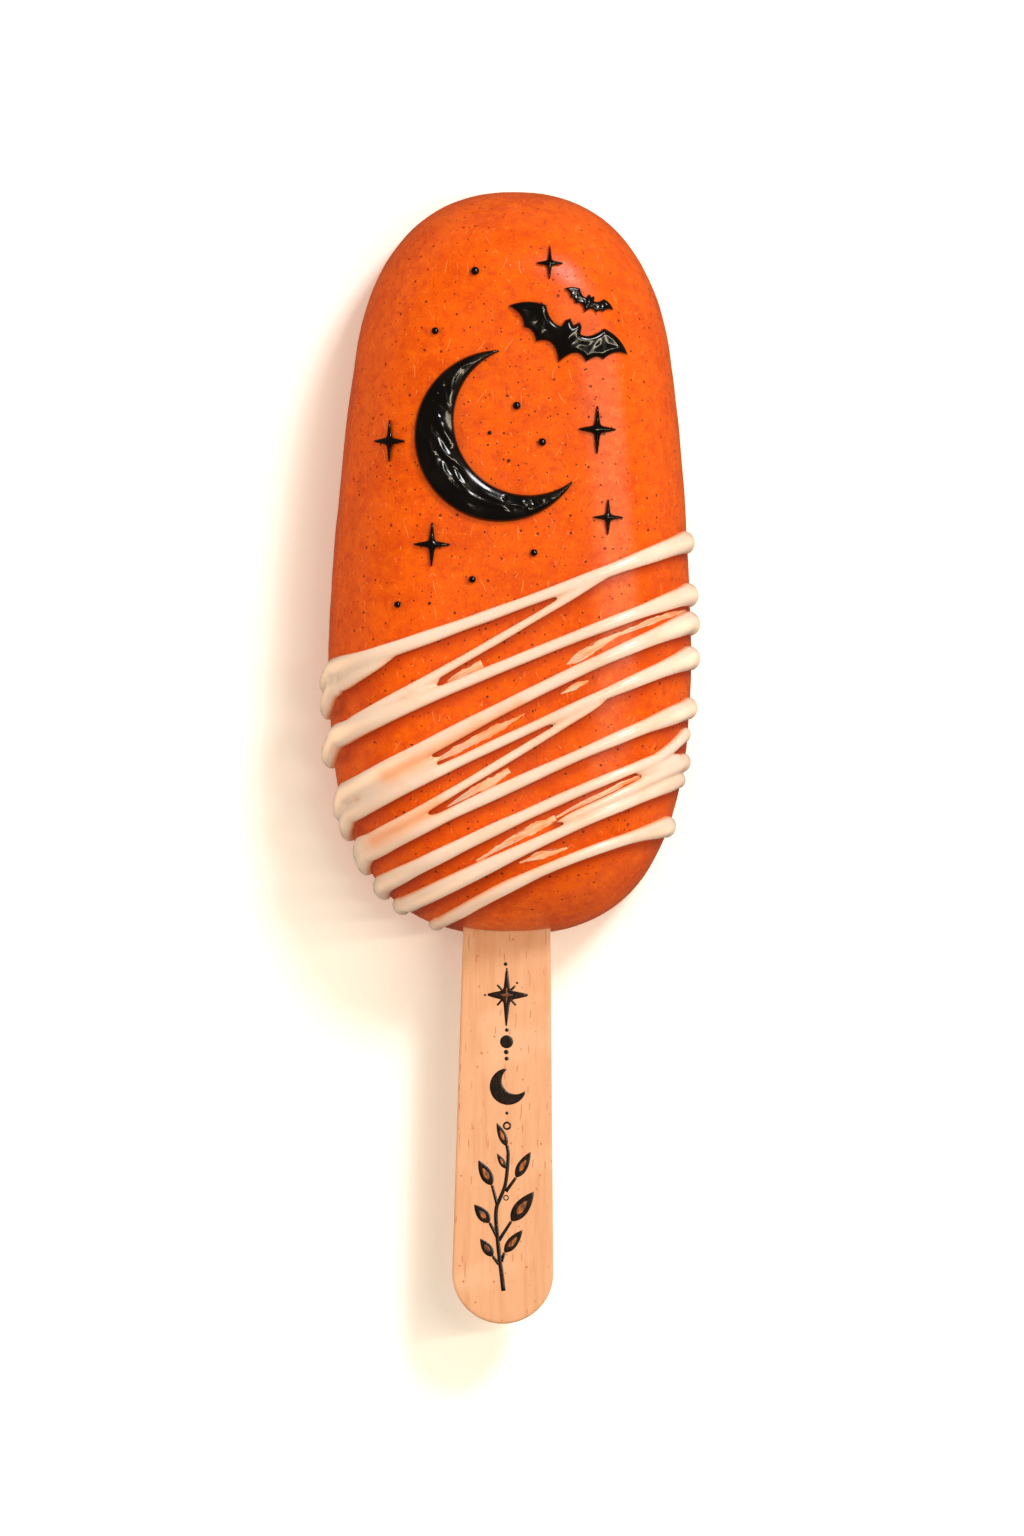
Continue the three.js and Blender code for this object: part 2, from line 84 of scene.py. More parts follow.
def bezier(handles, count):
    """Places on a Bezier curve, found by going part of the way between its handles again and again."""
    share = np.linspace(0, 1, count)[:, None]
    rows = [np.array(handle, float) + 0 * share for handle in handles]
    while len(rows) > 1:
        rows = [first + (second - first) * share for first, second in zip(rows, rows[1:])]
    return rows[0]


def travelled_along(line):
    steps = np.linalg.norm(np.diff(line, axis=0), axis=1)
    return np.concatenate([[0], np.cumsum(steps)])


def sampled(line, travelled, wanted):
    """A line's places at the wanted distances from its start."""
    return np.column_stack([np.interp(wanted, travelled, column) for column in line.T])


def evenly(line, count):
    travelled = travelled_along(line)
    return sampled(line, travelled, np.linspace(0, travelled[-1], count))


def smoothly(fine, values):
    """A smooth curve through values, by Catmull-Rom."""
    padded = np.concatenate([[2 * values[0] - values[1]], values, [2 * values[-1] - values[-2]]])
    whole = np.clip(np.floor(fine).astype(int), 0, len(values) - 2)
    t = fine - whole
    a, b, c, d = [padded[whole + shift] for shift in range(4)]
    square = (2 * a - 5 * b + 4 * c - d) * t**2
    cube = (3 * b - a - 3 * c + d) * t**3
    return 0.5 * (2 * b + (c - a) * t + square + cube)


def smooth_curve(fine, line):
    """Places on a smooth curve through those of a line."""
    return np.column_stack([smoothly(fine, column) for column in np.array(line, float).T])


def bar_outline(count):
    """The outline, anticlockwise from the middle of the stick's end."""
    upward = np.array([-SHOULDER_LEAN, 1]) / math.hypot(SHOULDER_LEAN, 1)
    below = SHOULDER - upward * FLANK_REACH
    above = SHOULDER + upward * SHOULDER_REACH
    curves = [
        [(0, HEAD_BOTTOM), (BOTTOM_REACH, HEAD_BOTTOM), HIP - (0, HIP_DROP), HIP],
        [HIP, HIP + (0, HIP_REACH), below, SHOULDER],
        [SHOULDER, above, (TOP_REACH, HEAD_TOP), (0, HEAD_TOP)],
    ]
    side = np.concatenate([bezier(curve, CURVE_STEPS) for curve in curves])
    right = evenly(side, count // 2 + 1)
    left = right[-2:0:-1] * (-1, 1)
    return np.concatenate([right, left])


def outward_of(outline):
    """The flat direction that faces away from a closed outline, at each of its places."""
    along = np.roll(outline, -1, axis=0) - np.roll(outline, 1, axis=0)
    along /= np.linalg.norm(along, axis=1)[:, None]
    return np.column_stack([along[:, 1], -along[:, 0]])


def aside_of(line):
    """The flat direction to the left of an open line, at each of its places."""
    ahead = np.gradient(line, axis=0)
    ahead /= np.maximum(np.linalg.norm(ahead, axis=1), SHORTEST)[:, None]
    return np.column_stack([-ahead[:, 1], ahead[:, 0]])


def edge_distance(flat, outline, closed=True):
    """Distance of places to an outline, or to an open line."""
    start = outline if closed else outline[:-1]
    run = (np.roll(outline, -1, axis=0) - outline)[: len(start)]
    size = np.maximum((run**2).sum(axis=1), TINY)
    best = []
    for some in np.array_split(flat, max(1, len(flat) // LINE_BATCH)):
        offset = some[:, None] - start[None]
        share = np.clip((offset * run).sum(axis=2) / size, 0, 1)
        gap = offset - share[:, :, None] * run
        best.append(np.sqrt((gap**2).sum(axis=2).min(axis=1)))
    return np.concatenate(best)


def bump_at(distance, width):
    return np.exp(-((distance / width) ** 2))


rim = bar_outline(RIM_POINTS)
rim_outward = outward_of(rim)
rim_step = np.linalg.norm(rim[1] - rim[0])
print("the rim is", round(rim_step * len(rim), 1), "mm round")

# %% [markdown]
# ## The skin's profile
# The side of the bar rises from the flat back, is widest a little above it, and rounds over to
# a level crown. A superellipse gives that profile from six numbers. With it, the height of the
# skin follows from the distance to the outline, so everything that lies on the bar can be put
# down by its flat place alone.

# %% Height of the skin
HEAD_HEIGHT = 23.5
WIDEST_Z = 4
FOOT_INSET = 1.6  # how far the flat back stops short of the outline
FOOT_POWER = 2.6
CROWN_INSET = 14  # the skin is level from here inwards
SIDE_POWER = 2.6
TOP_POWER = 2.2
NEAREST_BATCH = 3000


def skin_height(inset):
    share = np.clip(1 - np.maximum(inset, 0) / CROWN_INSET, 0, 1) ** SIDE_POWER
    return WIDEST_Z + (HEAD_HEIGHT - WIDEST_Z) * (1 - share) ** (1 / TOP_POWER)


def skin_inset(height):
    height = np.asarray(height, float)
    low = np.clip((WIDEST_Z - height) / WIDEST_Z, 0, 1)
    high = np.clip((height - WIDEST_Z) / (HEAD_HEIGHT - WIDEST_Z), 0, 1)
    foot = FOOT_INSET * (1 - (1 - low**FOOT_POWER) ** (1 / FOOT_POWER))
    side = CROWN_INSET * (1 - (1 - high**TOP_POWER) ** (1 / SIDE_POWER))
    return np.where(height < WIDEST_Z, foot, side)


def nearest_rim(flat):
    """For flat places: how far they lie in from the rim, the way out, and where along the rim."""
    best = []
    for start in range(0, len(flat), NEAREST_BATCH):
        some = flat[start : start + NEAREST_BATCH, None, :2] - rim[None]
        best.append(np.argmin((some**2).sum(axis=2), axis=1))
    best = np.concatenate(best)
    outward = rim_outward[best]
    offset = rim[best] - flat[:, :2]
    sideways = offset[:, 0] * outward[:, 1] - offset[:, 1] * outward[:, 0]
    return (offset * outward).sum(axis=1), outward, best * rim_step + sideways


def skin_normal(outward, height):
    """The direction that the skin faces at a height."""
    reach = 0.01
    rise = (skin_inset(height + reach) - skin_inset(height - reach)) / (2 * reach)
    level = height > HEAD_HEIGHT - reach
    steep = np.column_stack([outward, rise])
    steep /= np.linalg.norm(steep, axis=1)[:, None]
    return np.where(level[:, None], (0.0, 0.0, 1.0), steep)


def on_face(flat):
    inset, outward, _ = nearest_rim(flat)
    height = skin_height(inset)
    return np.column_stack([flat, height]), skin_normal(outward, height)


def on_side(distance, height):
    whole = np.floor(distance / rim_step).astype(int)
    share = (distance / rim_step - whole)[:, None]
    here, there = whole % len(rim), (whole + 1) % len(rim)
    point = rim[here] * (1 - share) + rim[there] * share
    outward = rim_outward[here] * (1 - share) + rim_outward[there] * share
    flat = point - outward * skin_inset(height)[:, None]
    return np.column_stack([flat, height]), skin_normal(outward, height)


# %% [markdown]
# ## An uneven skin
# Dipped chocolate isn't machined: it has slow swells, and small dents where it set. A smooth
# noise, read at each point and pushed along the skin's normal, gives both. The same function is
# used for whatever lies on the coating, so that nothing floats. It fades out towards the back,
# which stays flat on the table.

# %% Unevenness of the coating
SWELLS = [(9.0, 0.13), (3.4, 0.045)]  # each with its wavelength and its height
FLAT_BELOW = 2.5
SEEDS_APART = (7.31, 3.17, 5.93)  # how far from each other two seeds read the noise


def noise_at(points, wavelength, seed=0):
    shift = Vector([seed * apart for apart in SEEDS_APART])
    return np.array([noise.noise(Vector(point) / wavelength + shift) for point in points])


def unevenness(points):
    push = sum(height * noise_at(points, length, seed) for seed, (length, height) in enumerate(SWELLS, 1))
    return push * np.clip(points[:, 2] / FLAT_BELOW, 0, 1)


def face_height(flat):
    points, _ = on_face(flat)
    return points[:, 2] + unevenness(points)


# %% [markdown]
# ## Meshes from places
# Most pieces start as places in millimetres and faces between them. The first helper turns
# these into an object at the origin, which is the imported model's own. The second joins rings of
# the same size. The third merges points that fell together, and counts open edges, so that a
# hole in the mesh shows at once.

# %% Helpers that make meshes
MERGE_REACH = 0.02  # points closer than this become one


def mesh_piece(name, points, faces):
    """An object at the origin, from places in millimetres."""
    mesh = bpy.data.meshes.new(name)
    mesh.from_pydata((np.asarray(points) * MM).tolist(), [], faces)
    mesh.polygons.foreach_set("use_smooth", [True] * len(mesh.polygons))
    mesh.update()
    piece = bpy.data.objects.new(name, mesh)
    bpy.context.collection.objects.link(piece)
    return piece


def ring_faces(ring_count, size):
    """Four-sided faces between rings of the same size."""
    corner = np.arange(size)
    after = (corner + 1) % size
    rows = [
        np.column_stack([corner, after, after + size, corner + size]) + ring * size
        for ring in range(ring_count - 1)
    ]
    return np.concatenate(rows).tolist()


def merge_doubles(piece):
    work = bmesh.new()
    work.from_mesh(piece.data)
    bmesh.ops.remove_doubles(work, verts=work.verts, dist=MERGE_REACH * MM)
    bmesh.ops.dissolve_degenerate(work, edges=work.edges, dist=MERGE_REACH * MM / 10)
    open_edges = [edge for edge in work.edges if len(edge.link_faces) != 2]
    print(piece.name, "has", len(work.faces), "faces and", len(open_edges), "open edges")
    work.to_mesh(piece.data)
    work.free()


# %% [markdown]
# ## The coating
# The coating could be a stretched sphere or a subdivided box, but its outline matters most.
# So the mesh is a stack of rings that all follow the outline: in from the edge of the back, up
# round the foot and the side, over the shoulder, and closing in on a spine on the crown.
# A flat map is kept with it: each point's place as if the skin had been unrolled. The coating's
# specks and scratches are drawn on that map, so they don't stretch down the sides.

# %% Rings of the coating
AROUND = 560
FOOT_LEVELS = 9
SIDE_LEVELS = 60
CORE_INSET = 9  # beyond this the rings close in on the spine
CORE_LEVELS = 24
BACK_LEVELS = 8
SPINE_SHARE = 0.62  # length of the spine against the ring that it lies in
BACK_SHIFT = 200  # the map of the back lies beside that of the face


def closing_in(ring, share):
    """A ring on its way to the spine."""
    return ring[:, :2] * (1 - share, 1 - share * (1 - SPINE_SHARE))


def coating_rings():
    outline = bar_outline(AROUND)
    outward = outward_of(outline)

    def ring(inset, height):
        return np.column_stack([outline - outward * inset, np.full(AROUND, float(height))])

    foot_heights = WIDEST_Z * (1 - np.cos(np.linspace(0, np.pi / 2, FOOT_LEVELS, endpoint=False)))
    foot = [ring(skin_inset(height), height) for height in foot_heights]
    slope = math.acos((1 - CORE_INSET / CROWN_INSET) ** (SIDE_POWER / 2))
    shares = np.cos(np.linspace(0, slope, SIDE_LEVELS)) ** (2 / SIDE_POWER)
    side = [ring(inset, skin_height(inset)) for inset in CROWN_INSET * (1 - shares)]
    back = [
        np.column_stack([closing_in(foot[0], share), np.zeros(AROUND)])
        for share in np.linspace(1, 0, BACK_LEVELS, endpoint=False)
    ]
    core = [
        on_face(closing_in(side[-1], share))[0]
        for share in np.linspace(0, 1, CORE_LEVELS + 1)[1:]
    ]
    return back, foot + side, core, outward


def skin_map(walls, core, outward):
    """The rings of the foot and the side rolled out flat round the face."""
    steps = [np.linalg.norm(upper - lower, axis=1) for lower, upper in zip(walls, walls[1:])]
    reach = np.cumsum(steps[::-1], axis=0)[::-1]
    rolled = [walls[-1][:, :2] + outward * length[:, None] for length in reach]
    return rolled + [walls[-1][:, :2]] + [ring[:, :2] for ring in core]


back_rings, wall_rings, core_rings, ring_outward = coating_rings()
all_rings = back_rings + wall_rings + core_rings
rings = np.concatenate(all_rings)
inset, outward, _ = nearest_rim(rings)
pushed = rings + skin_normal(outward, rings[:, 2]) * unevenness(rings)[:, None]
orange_coating = mesh_piece("orange_coating", pushed, ring_faces(len(all_rings), AROUND))

back_map = [ring[:, :2] + (BACK_SHIFT, 0) for ring in back_rings]
flat_map = np.concatenate(back_map + skin_map(wall_rings, core_rings, ring_outward))
map_layer = orange_coating.data.uv_layers.new(name="skin_map")
corner_points = np.zeros(len(orange_coating.data.loops), int)
orange_coating.data.loops.foreach_get("vertex_index", corner_points)
map_layer.data.foreach_set("uv", flat_map[corner_points].ravel())
merge_doubles(orange_coating)

# %% [markdown]
# ## Nodes by name
# Materials and Geometry Nodes are both node trees. One helper adds a node, sets its plain
# settings, and then each input: a number is set on the socket itself, and another node's output
# is linked to it. Colours are given as they look on a screen, from 0 to 255, and are turned
# into the linear values that Blender works with.
# The larger materials are built up in the same way: tints that each follow a noise are laid
# over a base colour, then marks over these, and a bump follows the same noises and marks.

# %% Helpers for node trees
def fill_inputs(tree, node, inputs):
    """Links the sockets that are given to a node's inputs, and sets the plain values."""
    for key, value in inputs.items():
        if isinstance(value, bpy.types.NodeSocket):
            tree.links.new(value, node.inputs[key])
        else:
            node.inputs[key].default_value = value


def add_node(tree, kind, inputs=None, **settings):
    made = tree.nodes.new(kind)
    for setting, value in settings.items():
        setattr(made, setting, value)
    fill_inputs(tree, made, inputs or {})
    return made


def screen_colour(red, green, blue):
    share = np.array([red, green, blue]) / 255
    linear = np.where(share <= 0.04045, share / 12.92, ((share + 0.055) / 1.055) ** 2.4)
    return (*linear.tolist(), 1.0)


def new_material(name):
    material = bpy.data.materials.new(name)
    material.use_nodes = True
    tree = material.node_tree
    return material, tree, tree.nodes["Principled BSDF"]


def object_place(tree):
    """The place on the object, in metres."""
    return add_node(tree, "ShaderNodeTexCoord").outputs["Object"]


def kept_with_points(tree, name):
    """A number that the piece's points carry."""
    return add_node(tree, "ShaderNodeAttribute", attribute_name=name).outputs["Fac"]


def blended(tree, share, first, second):
    """The second colour over the first, by a share."""
    inputs = {0: share, 6: first, 7: second}  # a Mix node's share, and its two colours
    return add_node(tree, "ShaderNodeMix", inputs, data_type="RGBA").outputs[2]


def stepped(tree, value, start, end, low=0.0, high=1.0):
    """Rises smoothly from low to high while the value goes from start to end."""
    inputs = {0: value, 1: start, 2: end, 3: low, 4: high}
    node = add_node(tree, "ShaderNodeMapRange", inputs, interpolation_type="SMOOTHSTEP")
    return node.outputs[0]


def reckoned(tree, operation, first, second=0.0):
    inputs = {0: first, 1: second}
    return add_node(tree, "ShaderNodeMath", inputs, operation=operation).outputs[0]


def vectors(tree, operation, first, second):
    inputs = {0: first, 1: second}
    return add_node(tree, "ShaderNodeVectorMath", inputs, operation=operation).outputs[0]


def largest(tree, first, *others):
    for other in others:
        first = reckoned(tree, "MAXIMUM", first, other)
    return first


def weighted(tree, parts):
    """The sum of some values, each times its weight."""
    shares = [reckoned(tree, "MULTIPLY", value, weight) for value, weight in parts]
    total = shares[0]
    for share in shares[1:]:
        total = reckoned(tree, "ADD", total, share)
    return total


def cloudy(tree, place, scale, detail=2.0, roughness=0.5):
    """Smooth noise from 0 to 1."""
    inputs = {"Vector": place, "Scale": scale, "Detail": detail, "Roughness": roughness}
    return add_node(tree, "ShaderNodeTexNoise", inputs).outputs[0]


def tinted(tree, values, base, tints):
    """Tints over a base colour. Each follows one of the values, by its name."""
    colour = base
    for name, start, full, share, tint in tints:
        where = stepped(tree, values[name], start, full, 0.0, share)
        colour = blended(tree, where, colour, tint)
    return colour


def marked(tree, colour, marks):
    """Marks over a colour. Each has where it is, how strong it is, and its own colour."""
    for where, strength, tint in marks:
        colour = blended(tree, reckoned(tree, "MULTIPLY", where, strength), colour, tint)
    return colour


def bumpy(tree, height, strength, reach):
    """A bump from heights, with its reach in millimetres."""
    inputs = {"Height": height, "Strength": strength, "Distance": reach * MM}
    return add_node(tree, "ShaderNodeBump", inputs).outputs[0]


# %% [markdown]
# ## Specks and scratches
# The coating is full of fine marks: dark specks, and short pale scratches that each curve a
# little. Both come from the Voronoi texture. It divides the map into cells and gives every cell
# a place and a random colour. A speck is a spot round the cell's place. For a scratch, the
# offset from that place is turned by a random angle, and only a thin bent strip of it is kept.

# %% Marks drawn in Voronoi cells
SPECK_BLUR = 0.03  # half the width of a speck's soft edge
SPECK_NOISE = 6.0  # scale of the noise that makes a speck ragged
SPECK_RAGGED = 0.5  # how far its edge is drawn in, against its radius
STROKE_BEND = 0.8
STROKE_CORE = 0.2  # the share of its width in which a stroke is full
STRONGEST = 0.3  # the share of the strokes that are full


def cell_marks(tree, place, spacing, shift):
    """Offset from each cell's middle, in millimetres, and three random numbers of the cell."""
    moved = vectors(tree, "ADD", place, (shift, 1.7 * shift, 0))
    scaled = vectors(tree, "MULTIPLY", moved, (1 / spacing, 1 / spacing, 0))
    inputs = {"Vector": scaled, "Scale": 1.0}
    cells = add_node(tree, "ShaderNodeTexVoronoi", inputs, voronoi_dimensions="2D")
    offset = vectors(tree, "SUBTRACT", scaled, cells.outputs["Position"])
    real = vectors(tree, "MULTIPLY", offset, (spacing, spacing, 0))
    chance = add_node(tree, "ShaderNodeSeparateColor", {0: cells.outputs["Color"]})
    return real, chance.outputs


def specks(tree, place, spacing, radius, share, shift):
    """Spots of about the given radius, in a share of the cells."""
    offset, chance = cell_marks(tree, place, spacing, shift)
    rough = cloudy(tree, place, SPECK_NOISE)
    ragged = reckoned(tree, "MULTIPLY", rough, SPECK_RAGGED * radius)
    length = add_node(tree, "ShaderNodeVectorMath", {0: offset}, operation="LENGTH")
    size = reckoned(tree, "MULTIPLY", reckoned(tree, "ADD", chance[0], 0.5), radius)
    reach = reckoned(tree, "ADD", length.outputs["Value"], ragged)
    fade = reckoned(tree, "SUBTRACT", size, reach)
    spot = stepped(tree, fade, -SPECK_BLUR, SPECK_BLUR)
    there = reckoned(tree, "LESS_THAN", chance[1], share)
    return reckoned(tree, "MULTIPLY", spot, there)


def scratches(tree, place, spacing, length, width, share, shift, spread):
    """Short bent strokes, in a share of the cells. The spread is that of their directions."""
    offset, chance = cell_marks(tree, place, spacing, shift)
    angle = reckoned(tree, "MULTIPLY", reckoned(tree, "SUBTRACT", chance[0], 0.5), spread)
    inputs = {"Vector": offset, "Angle": angle}
    turned = add_node(tree, "ShaderNodeVectorRotate", inputs, rotation_type="Z_AXIS").outputs[0]
    across, along, _ = add_node(tree, "ShaderNodeSeparateXYZ", {0: turned}).outputs
    lean = reckoned(tree, "SUBTRACT", chance[2], 0.5)
    bend = reckoned(tree, "MULTIPLY", lean, STROKE_BEND / length)
    bow = reckoned(tree, "MULTIPLY", reckoned(tree, "POWER", along, 2.0), bend)
    aside = reckoned(tree, "ABSOLUTE", reckoned(tree, "ADD", across, bow))
    thin = stepped(tree, aside, width, STROKE_CORE * width)
    short = stepped(tree, reckoned(tree, "ABSOLUTE", along), length / 2, length / 4)
    strength = stepped(tree, chance[1], share, STRONGEST * share)
    stroke = reckoned(tree, "MULTIPLY", thin, short)
    return reckoned(tree, "MULTIPLY", stroke, strength)


# %% [markdown]
# ## The coating's finish
# The coating is coloured white chocolate: a waxy, half matt orange. Slow clouds make it deeper
# in some places and paler in others, a fine grain breaks it up, and then come the scratches and
# the specks. The same marks feed a bump, so that they catch the light as well. Chocolate is a
# little translucent, which a small subsurface weight gives.

# %% Orange chocolate
ORANGE = screen_colour(206, 80, 0)
DEEP_ORANGE = screen_colour(184, 60, 0)
PALE_ORANGE = screen_colour(215, 96, 4)
PAINTED_SHADE_ORANGE = screen_colour(150, 42, 1)
# painted shade: the deeper orange laid just below each strand, where it would shade the coating
SCRATCH_PALE = screen_colour(236, 152, 84)
SPECK_BROWN = screen_colour(70, 20, 6)
ORANGE_TINTS = [  # a noise, where the tint starts and is full, its share and its colour
    ("clouds", 0.42, 0.66, 0.6, DEEP_ORANGE),
    ("patches", 0.5, 0.68, 0.8, DEEP_ORANGE),
    ("patches", 0.48, 0.3, 0.6, PALE_ORANGE),
    ("grain", 0.52, 0.7, 0.55, PALE_ORANGE),
    ("grain", 0.48, 0.28, 0.7, DEEP_ORANGE),
]
# each row: spacing, length, width, share of the cells, shift of the map, spread of directions
LONG_SCRATCHES = (3.4, 2.2, 0.07, 0.38, 4.0, 1.3)
SHORT_SCRATCHES = (1.8, 0.8, 0.07, 0.42, 17.0, 1.9)
DARK_SCRATCHES = (4.6, 2.0, 0.08, 0.6, 31.0, 1.8)
# each row: spacing, radius, share of the cells, shift of the map
PALE_DOTS = (1.7, 0.09, 0.4, 41.0)
LARGE_SPECKS = (2.1, 0.155, 0.55, 9.0)
SMALL_SPECKS = (1.2, 0.1, 0.45, 23.0)
PATCHES_SHIFT = (31.0, 7.0, 0)


def orange_chocolate():
    material, tree, shader = new_material("orange_chocolate")
    place = add_node(tree, "ShaderNodeUVMap", uv_map="skin_map").outputs[0]
    clouds = cloudy(tree, place, scale=0.15, detail=3.0)
    patches = cloudy(tree, vectors(tree, "ADD", place, PATCHES_SHIFT), scale=0.7, detail=4.0, roughness=0.6)
    grain = cloudy(tree, place, scale=3.2, detail=3.0, roughness=0.65)
    noises = {"clouds": clouds, "patches": patches, "grain": grain}
    colour = tinted(tree, noises, ORANGE, ORANGE_TINTS)
    long_marks = scratches(tree, place, *LONG_SCRATCHES)
    short_marks = scratches(tree, place, *SHORT_SCRATCHES)
    pale = largest(tree, long_marks, short_marks, specks(tree, place, *PALE_DOTS))
    dark = scratches(tree, place, *DARK_SCRATCHES)
    large_specks = specks(tree, place, *LARGE_SPECKS)
    spots = largest(tree, large_specks, specks(tree, place, *SMALL_SPECKS))
    marks = [
        (pale, 0.48, SCRATCH_PALE),
        (dark, 0.4, SPECK_BROWN),
        # painted shade below each strand, by the number that the coating's points keep
        (kept_with_points(tree, "painted_strand_shade"), 0.8, PAINTED_SHADE_ORANGE),
        (spots, 0.85, SPECK_BROWN),
    ]
    relief = weighted(tree, [(grain, 0.5), (patches, 0.8), (pale, 0.35), (spots, -0.5)])
    look = {
        "Base Color": marked(tree, colour, marks),
        "Roughness": stepped(tree, patches, 0.3, 0.7, low=0.25, high=0.34),
        "Normal": bumpy(tree, relief, strength=0.45, reach=0.08),
        "Specular IOR Level": 0.19,
        "Subsurface Weight": 0.05,
        "Subsurface Radius": (1.0, 0.35, 0.1),
        "Subsurface Scale": 0.8 * MM,
    }
    fill_inputs(tree, shader, look)
    return material


orange_material = orange_chocolate()


def settle(piece, material, node):
    """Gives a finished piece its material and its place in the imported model."""
    piece.data.materials.clear()
    piece.data.materials.append(material)
    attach(piece, "root")
    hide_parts(node)
    triangles = sum(len(face.vertices) - 2 for face in piece.data.polygons)
    print(piece.name, "has", triangles, "triangles")


settle(orange_coating, orange_material, "coated_cake")

# %% [markdown]
# ## Where the drizzle runs
# Someone swung a bag of white chocolate to and fro over the bar. Each strand crosses the face
# in a shallow curve and runs over the rim, where it swells and hangs down the side. So a strand
# is given by three places on the face, the widths of its two ends, the widths between them from
# left to right, and the heights down to which its ends hang. An end without such a height stops
# on the face. The short rows stop there at both ends: they fill the corners in which two
# strands ran together into a small pool.
# The line is laid on the skin, and its width gets some unevenness, since no hand is that steady.

# %% Lines of the drizzle
RIM_INSET = 0.9  # where a strand leaves the face and turns down the side
STRAND_LIFT = 0.22  # of its middle line over the skin
END_SWELL = 5  # how late a strand swells towards the rim
RUN_ON = 2.5  # how far it keeps its heading once it is over the rim
SAG = 0.21  # how far it sank towards the stick, for each millimetre that it hangs
MOST_SLANT = 0.5
FREE_TAPER = 3.5  # an end that lies on the face thins out over this length
FACE_STEPS = 160
DROP_STEPS = 30
LINE_STEP = 0.3
NEAR_END = (0.02, 0.1, 0.25, 0.5)  # places that round an end, against its half width
LEFT_OUT = 3  # even places that these take the place of
WIDTH_NOISE = 0.12
NOISE_LENGTH = 6.0
FIRST_SEED = 5
STRANDS = [  # places on the face, widths of the ends, widths between them, heights of the ends
    ([(-23.6, -14.3), (-0.4, -5.85), (22.8, 3.3)], (2.9, 2.9), [2.3, 1.8, 1.6, 1.6, 1.8], (6, 8.5)),
    ([(-23.7, -17.2), (-19.5, -14.9), (-14.3, -11.9)], (2.8, 0.7), [2.1, 1.6, 0.8], (4.5, None)),
    ([(-20.8, -20.9), (-2, -10.05), (14.3, 0.0)], (1.3, 1.2), [1.5, 1.2, 1.1], (None, None)),
    ([(-23.3, -23.1), (-0.2, -12.9), (22.9, -3.5)], (3.3, 2.9), [2.5, 1.8, 1.6, 1.65, 1.8], (4, 8)),
    ([(-22.2, -30.6), (0.5, -17.8), (23.2, -7.0)], (2.9, 3.0), [2.6, 2.3, 1.8, 1.75, 1.9], (5, 7.5)),
    ([(-18.9, -30.0), (-13.8, -27.6), (-8.2, -24.6)], (1.6, 0.7), [1.7, 1.7, 1.2], (None, None)),
    ([(-20.5, -14.0), (-17.3, -12.9), (-13.8, -11.4)], (1.0, 0.6), [1.2, 1.2, 0.8], (None, None)),
    ([(-13.8, -17.7), (-11.2, -16.4), (-8.7, -15.0)], (1.2, 0.5), [1.5, 1.3, 0.8], (None, None)),
    ([(-14.5, -34.9), (-12.0, -33.5), (-9.4, -31.9)], (1.2, 0.5), [1.3, 1.1, 0.6], (None, None)),
    ([(16.0, -26.9), (18.6, -25.8), (21.6, -24.4)], (0.7, 1.7), [0.8, 1.3, 1.7], (None, None)),
    ([(-21.2, -32.9), (1.2, -21.75), (23.5, -11.4)], (2.6, 3.1), [1.9, 1.5, 1.4, 1.5, 1.8], (3.5, 8)),
    ([(-19.9, -36.9), (-6.7, -29.0), (12.3, -17.2)], (2.2, 1.1), [1.8, 1.3, 1.2, 1.1], (6.5, None)),
    ([(-19.8, -38.3), (1.8, -27.7), (23.4, -17.9)], (2.5, 2.9), [2.1, 1.7, 1.7, 1.65, 1.8], (5, 8.5)),
    ([(-16.7, -41.5), (2.0, -32.2), (19.6, -24.3)], (2.6, 1.5), [2.3, 1.9, 1.6, 1.55, 1.5], (5, None)),
    ([(17.0, -25.5), (20.7, -23.0), (23.6, -19.4)], (1.3, 1.9), [1.5, 1.7, 1.8], (None, 10)),
    ([(6.0, -33.1), (14.8, -28.9), (23.4, -24.1)], (0.9, 2.4), [1.1, 1.3, 1.9], (None, 8)),
    ([(-13.9, -44.1), (4.4, -35.3), (22.6, -26.9)], (2.4, 2.1), [2.4, 2.1, 1.65, 1.5, 1.8], (5.5, 9)),
    ([(-9.0, -46.1), (6.4, -38.2), (21.8, -32.8)], (1.9, 3.0), [1.9, 1.8, 1.5, 1.6, 1.8], (7, 8)),
]


def run_down(previous, edge, drop):
    """Places down the side after the last two places on the face."""
    _, outward, distance = nearest_rim(edge[None, :2])
    outward, distance = outward[0], distance[0]
    heading = edge - previous
    outwards = heading[:2] @ outward
    sideways = heading[1] * outward[0] - heading[0] * outward[1]
    slant = np.clip(sideways / outwards, -MOST_SLANT, MOST_SLANT)
    fall = (edge[2] - drop) * np.arange(1, DROP_STEPS + 1) / DROP_STEPS
    slide = slant * RUN_ON * (1 - np.exp(-fall / RUN_ON)) - SAG * fall * outward[0]
    return on_side(distance + slide, edge[2] - fall)


def strand_line(strand):
    """A strand's places, the skin's normals there, and how far it has swollen."""
    face, _, _, drops = strand
    left, middle, right = [np.array(place, float) for place in face]
    flat = bezier([left, 2 * middle - (left + right) / 2, right], FACE_STEPS)
    flat = flat[nearest_rim(flat)[0] > RIM_INSET]
    points, normals = on_face(flat)
    swell = np.abs(np.linspace(-1, 1, len(points))) ** END_SWELL
    for end, drop in zip((0, -1), drops):
        if drop is None:
            continue
        inner = points[1] if end == 0 else points[-2]
        down, down_normals = run_down(inner, points[end], drop)
        order = slice(None, None, -1) if end == 0 else slice(None)
        parts = [(down[order], points), (down_normals[order], normals), (np.ones(len(down)), swell)]
        if end == -1:
            parts = [(second, first) for first, second in parts]
        points, normals, swell = [np.concatenate(part) for part in parts]
    return points, normals, swell


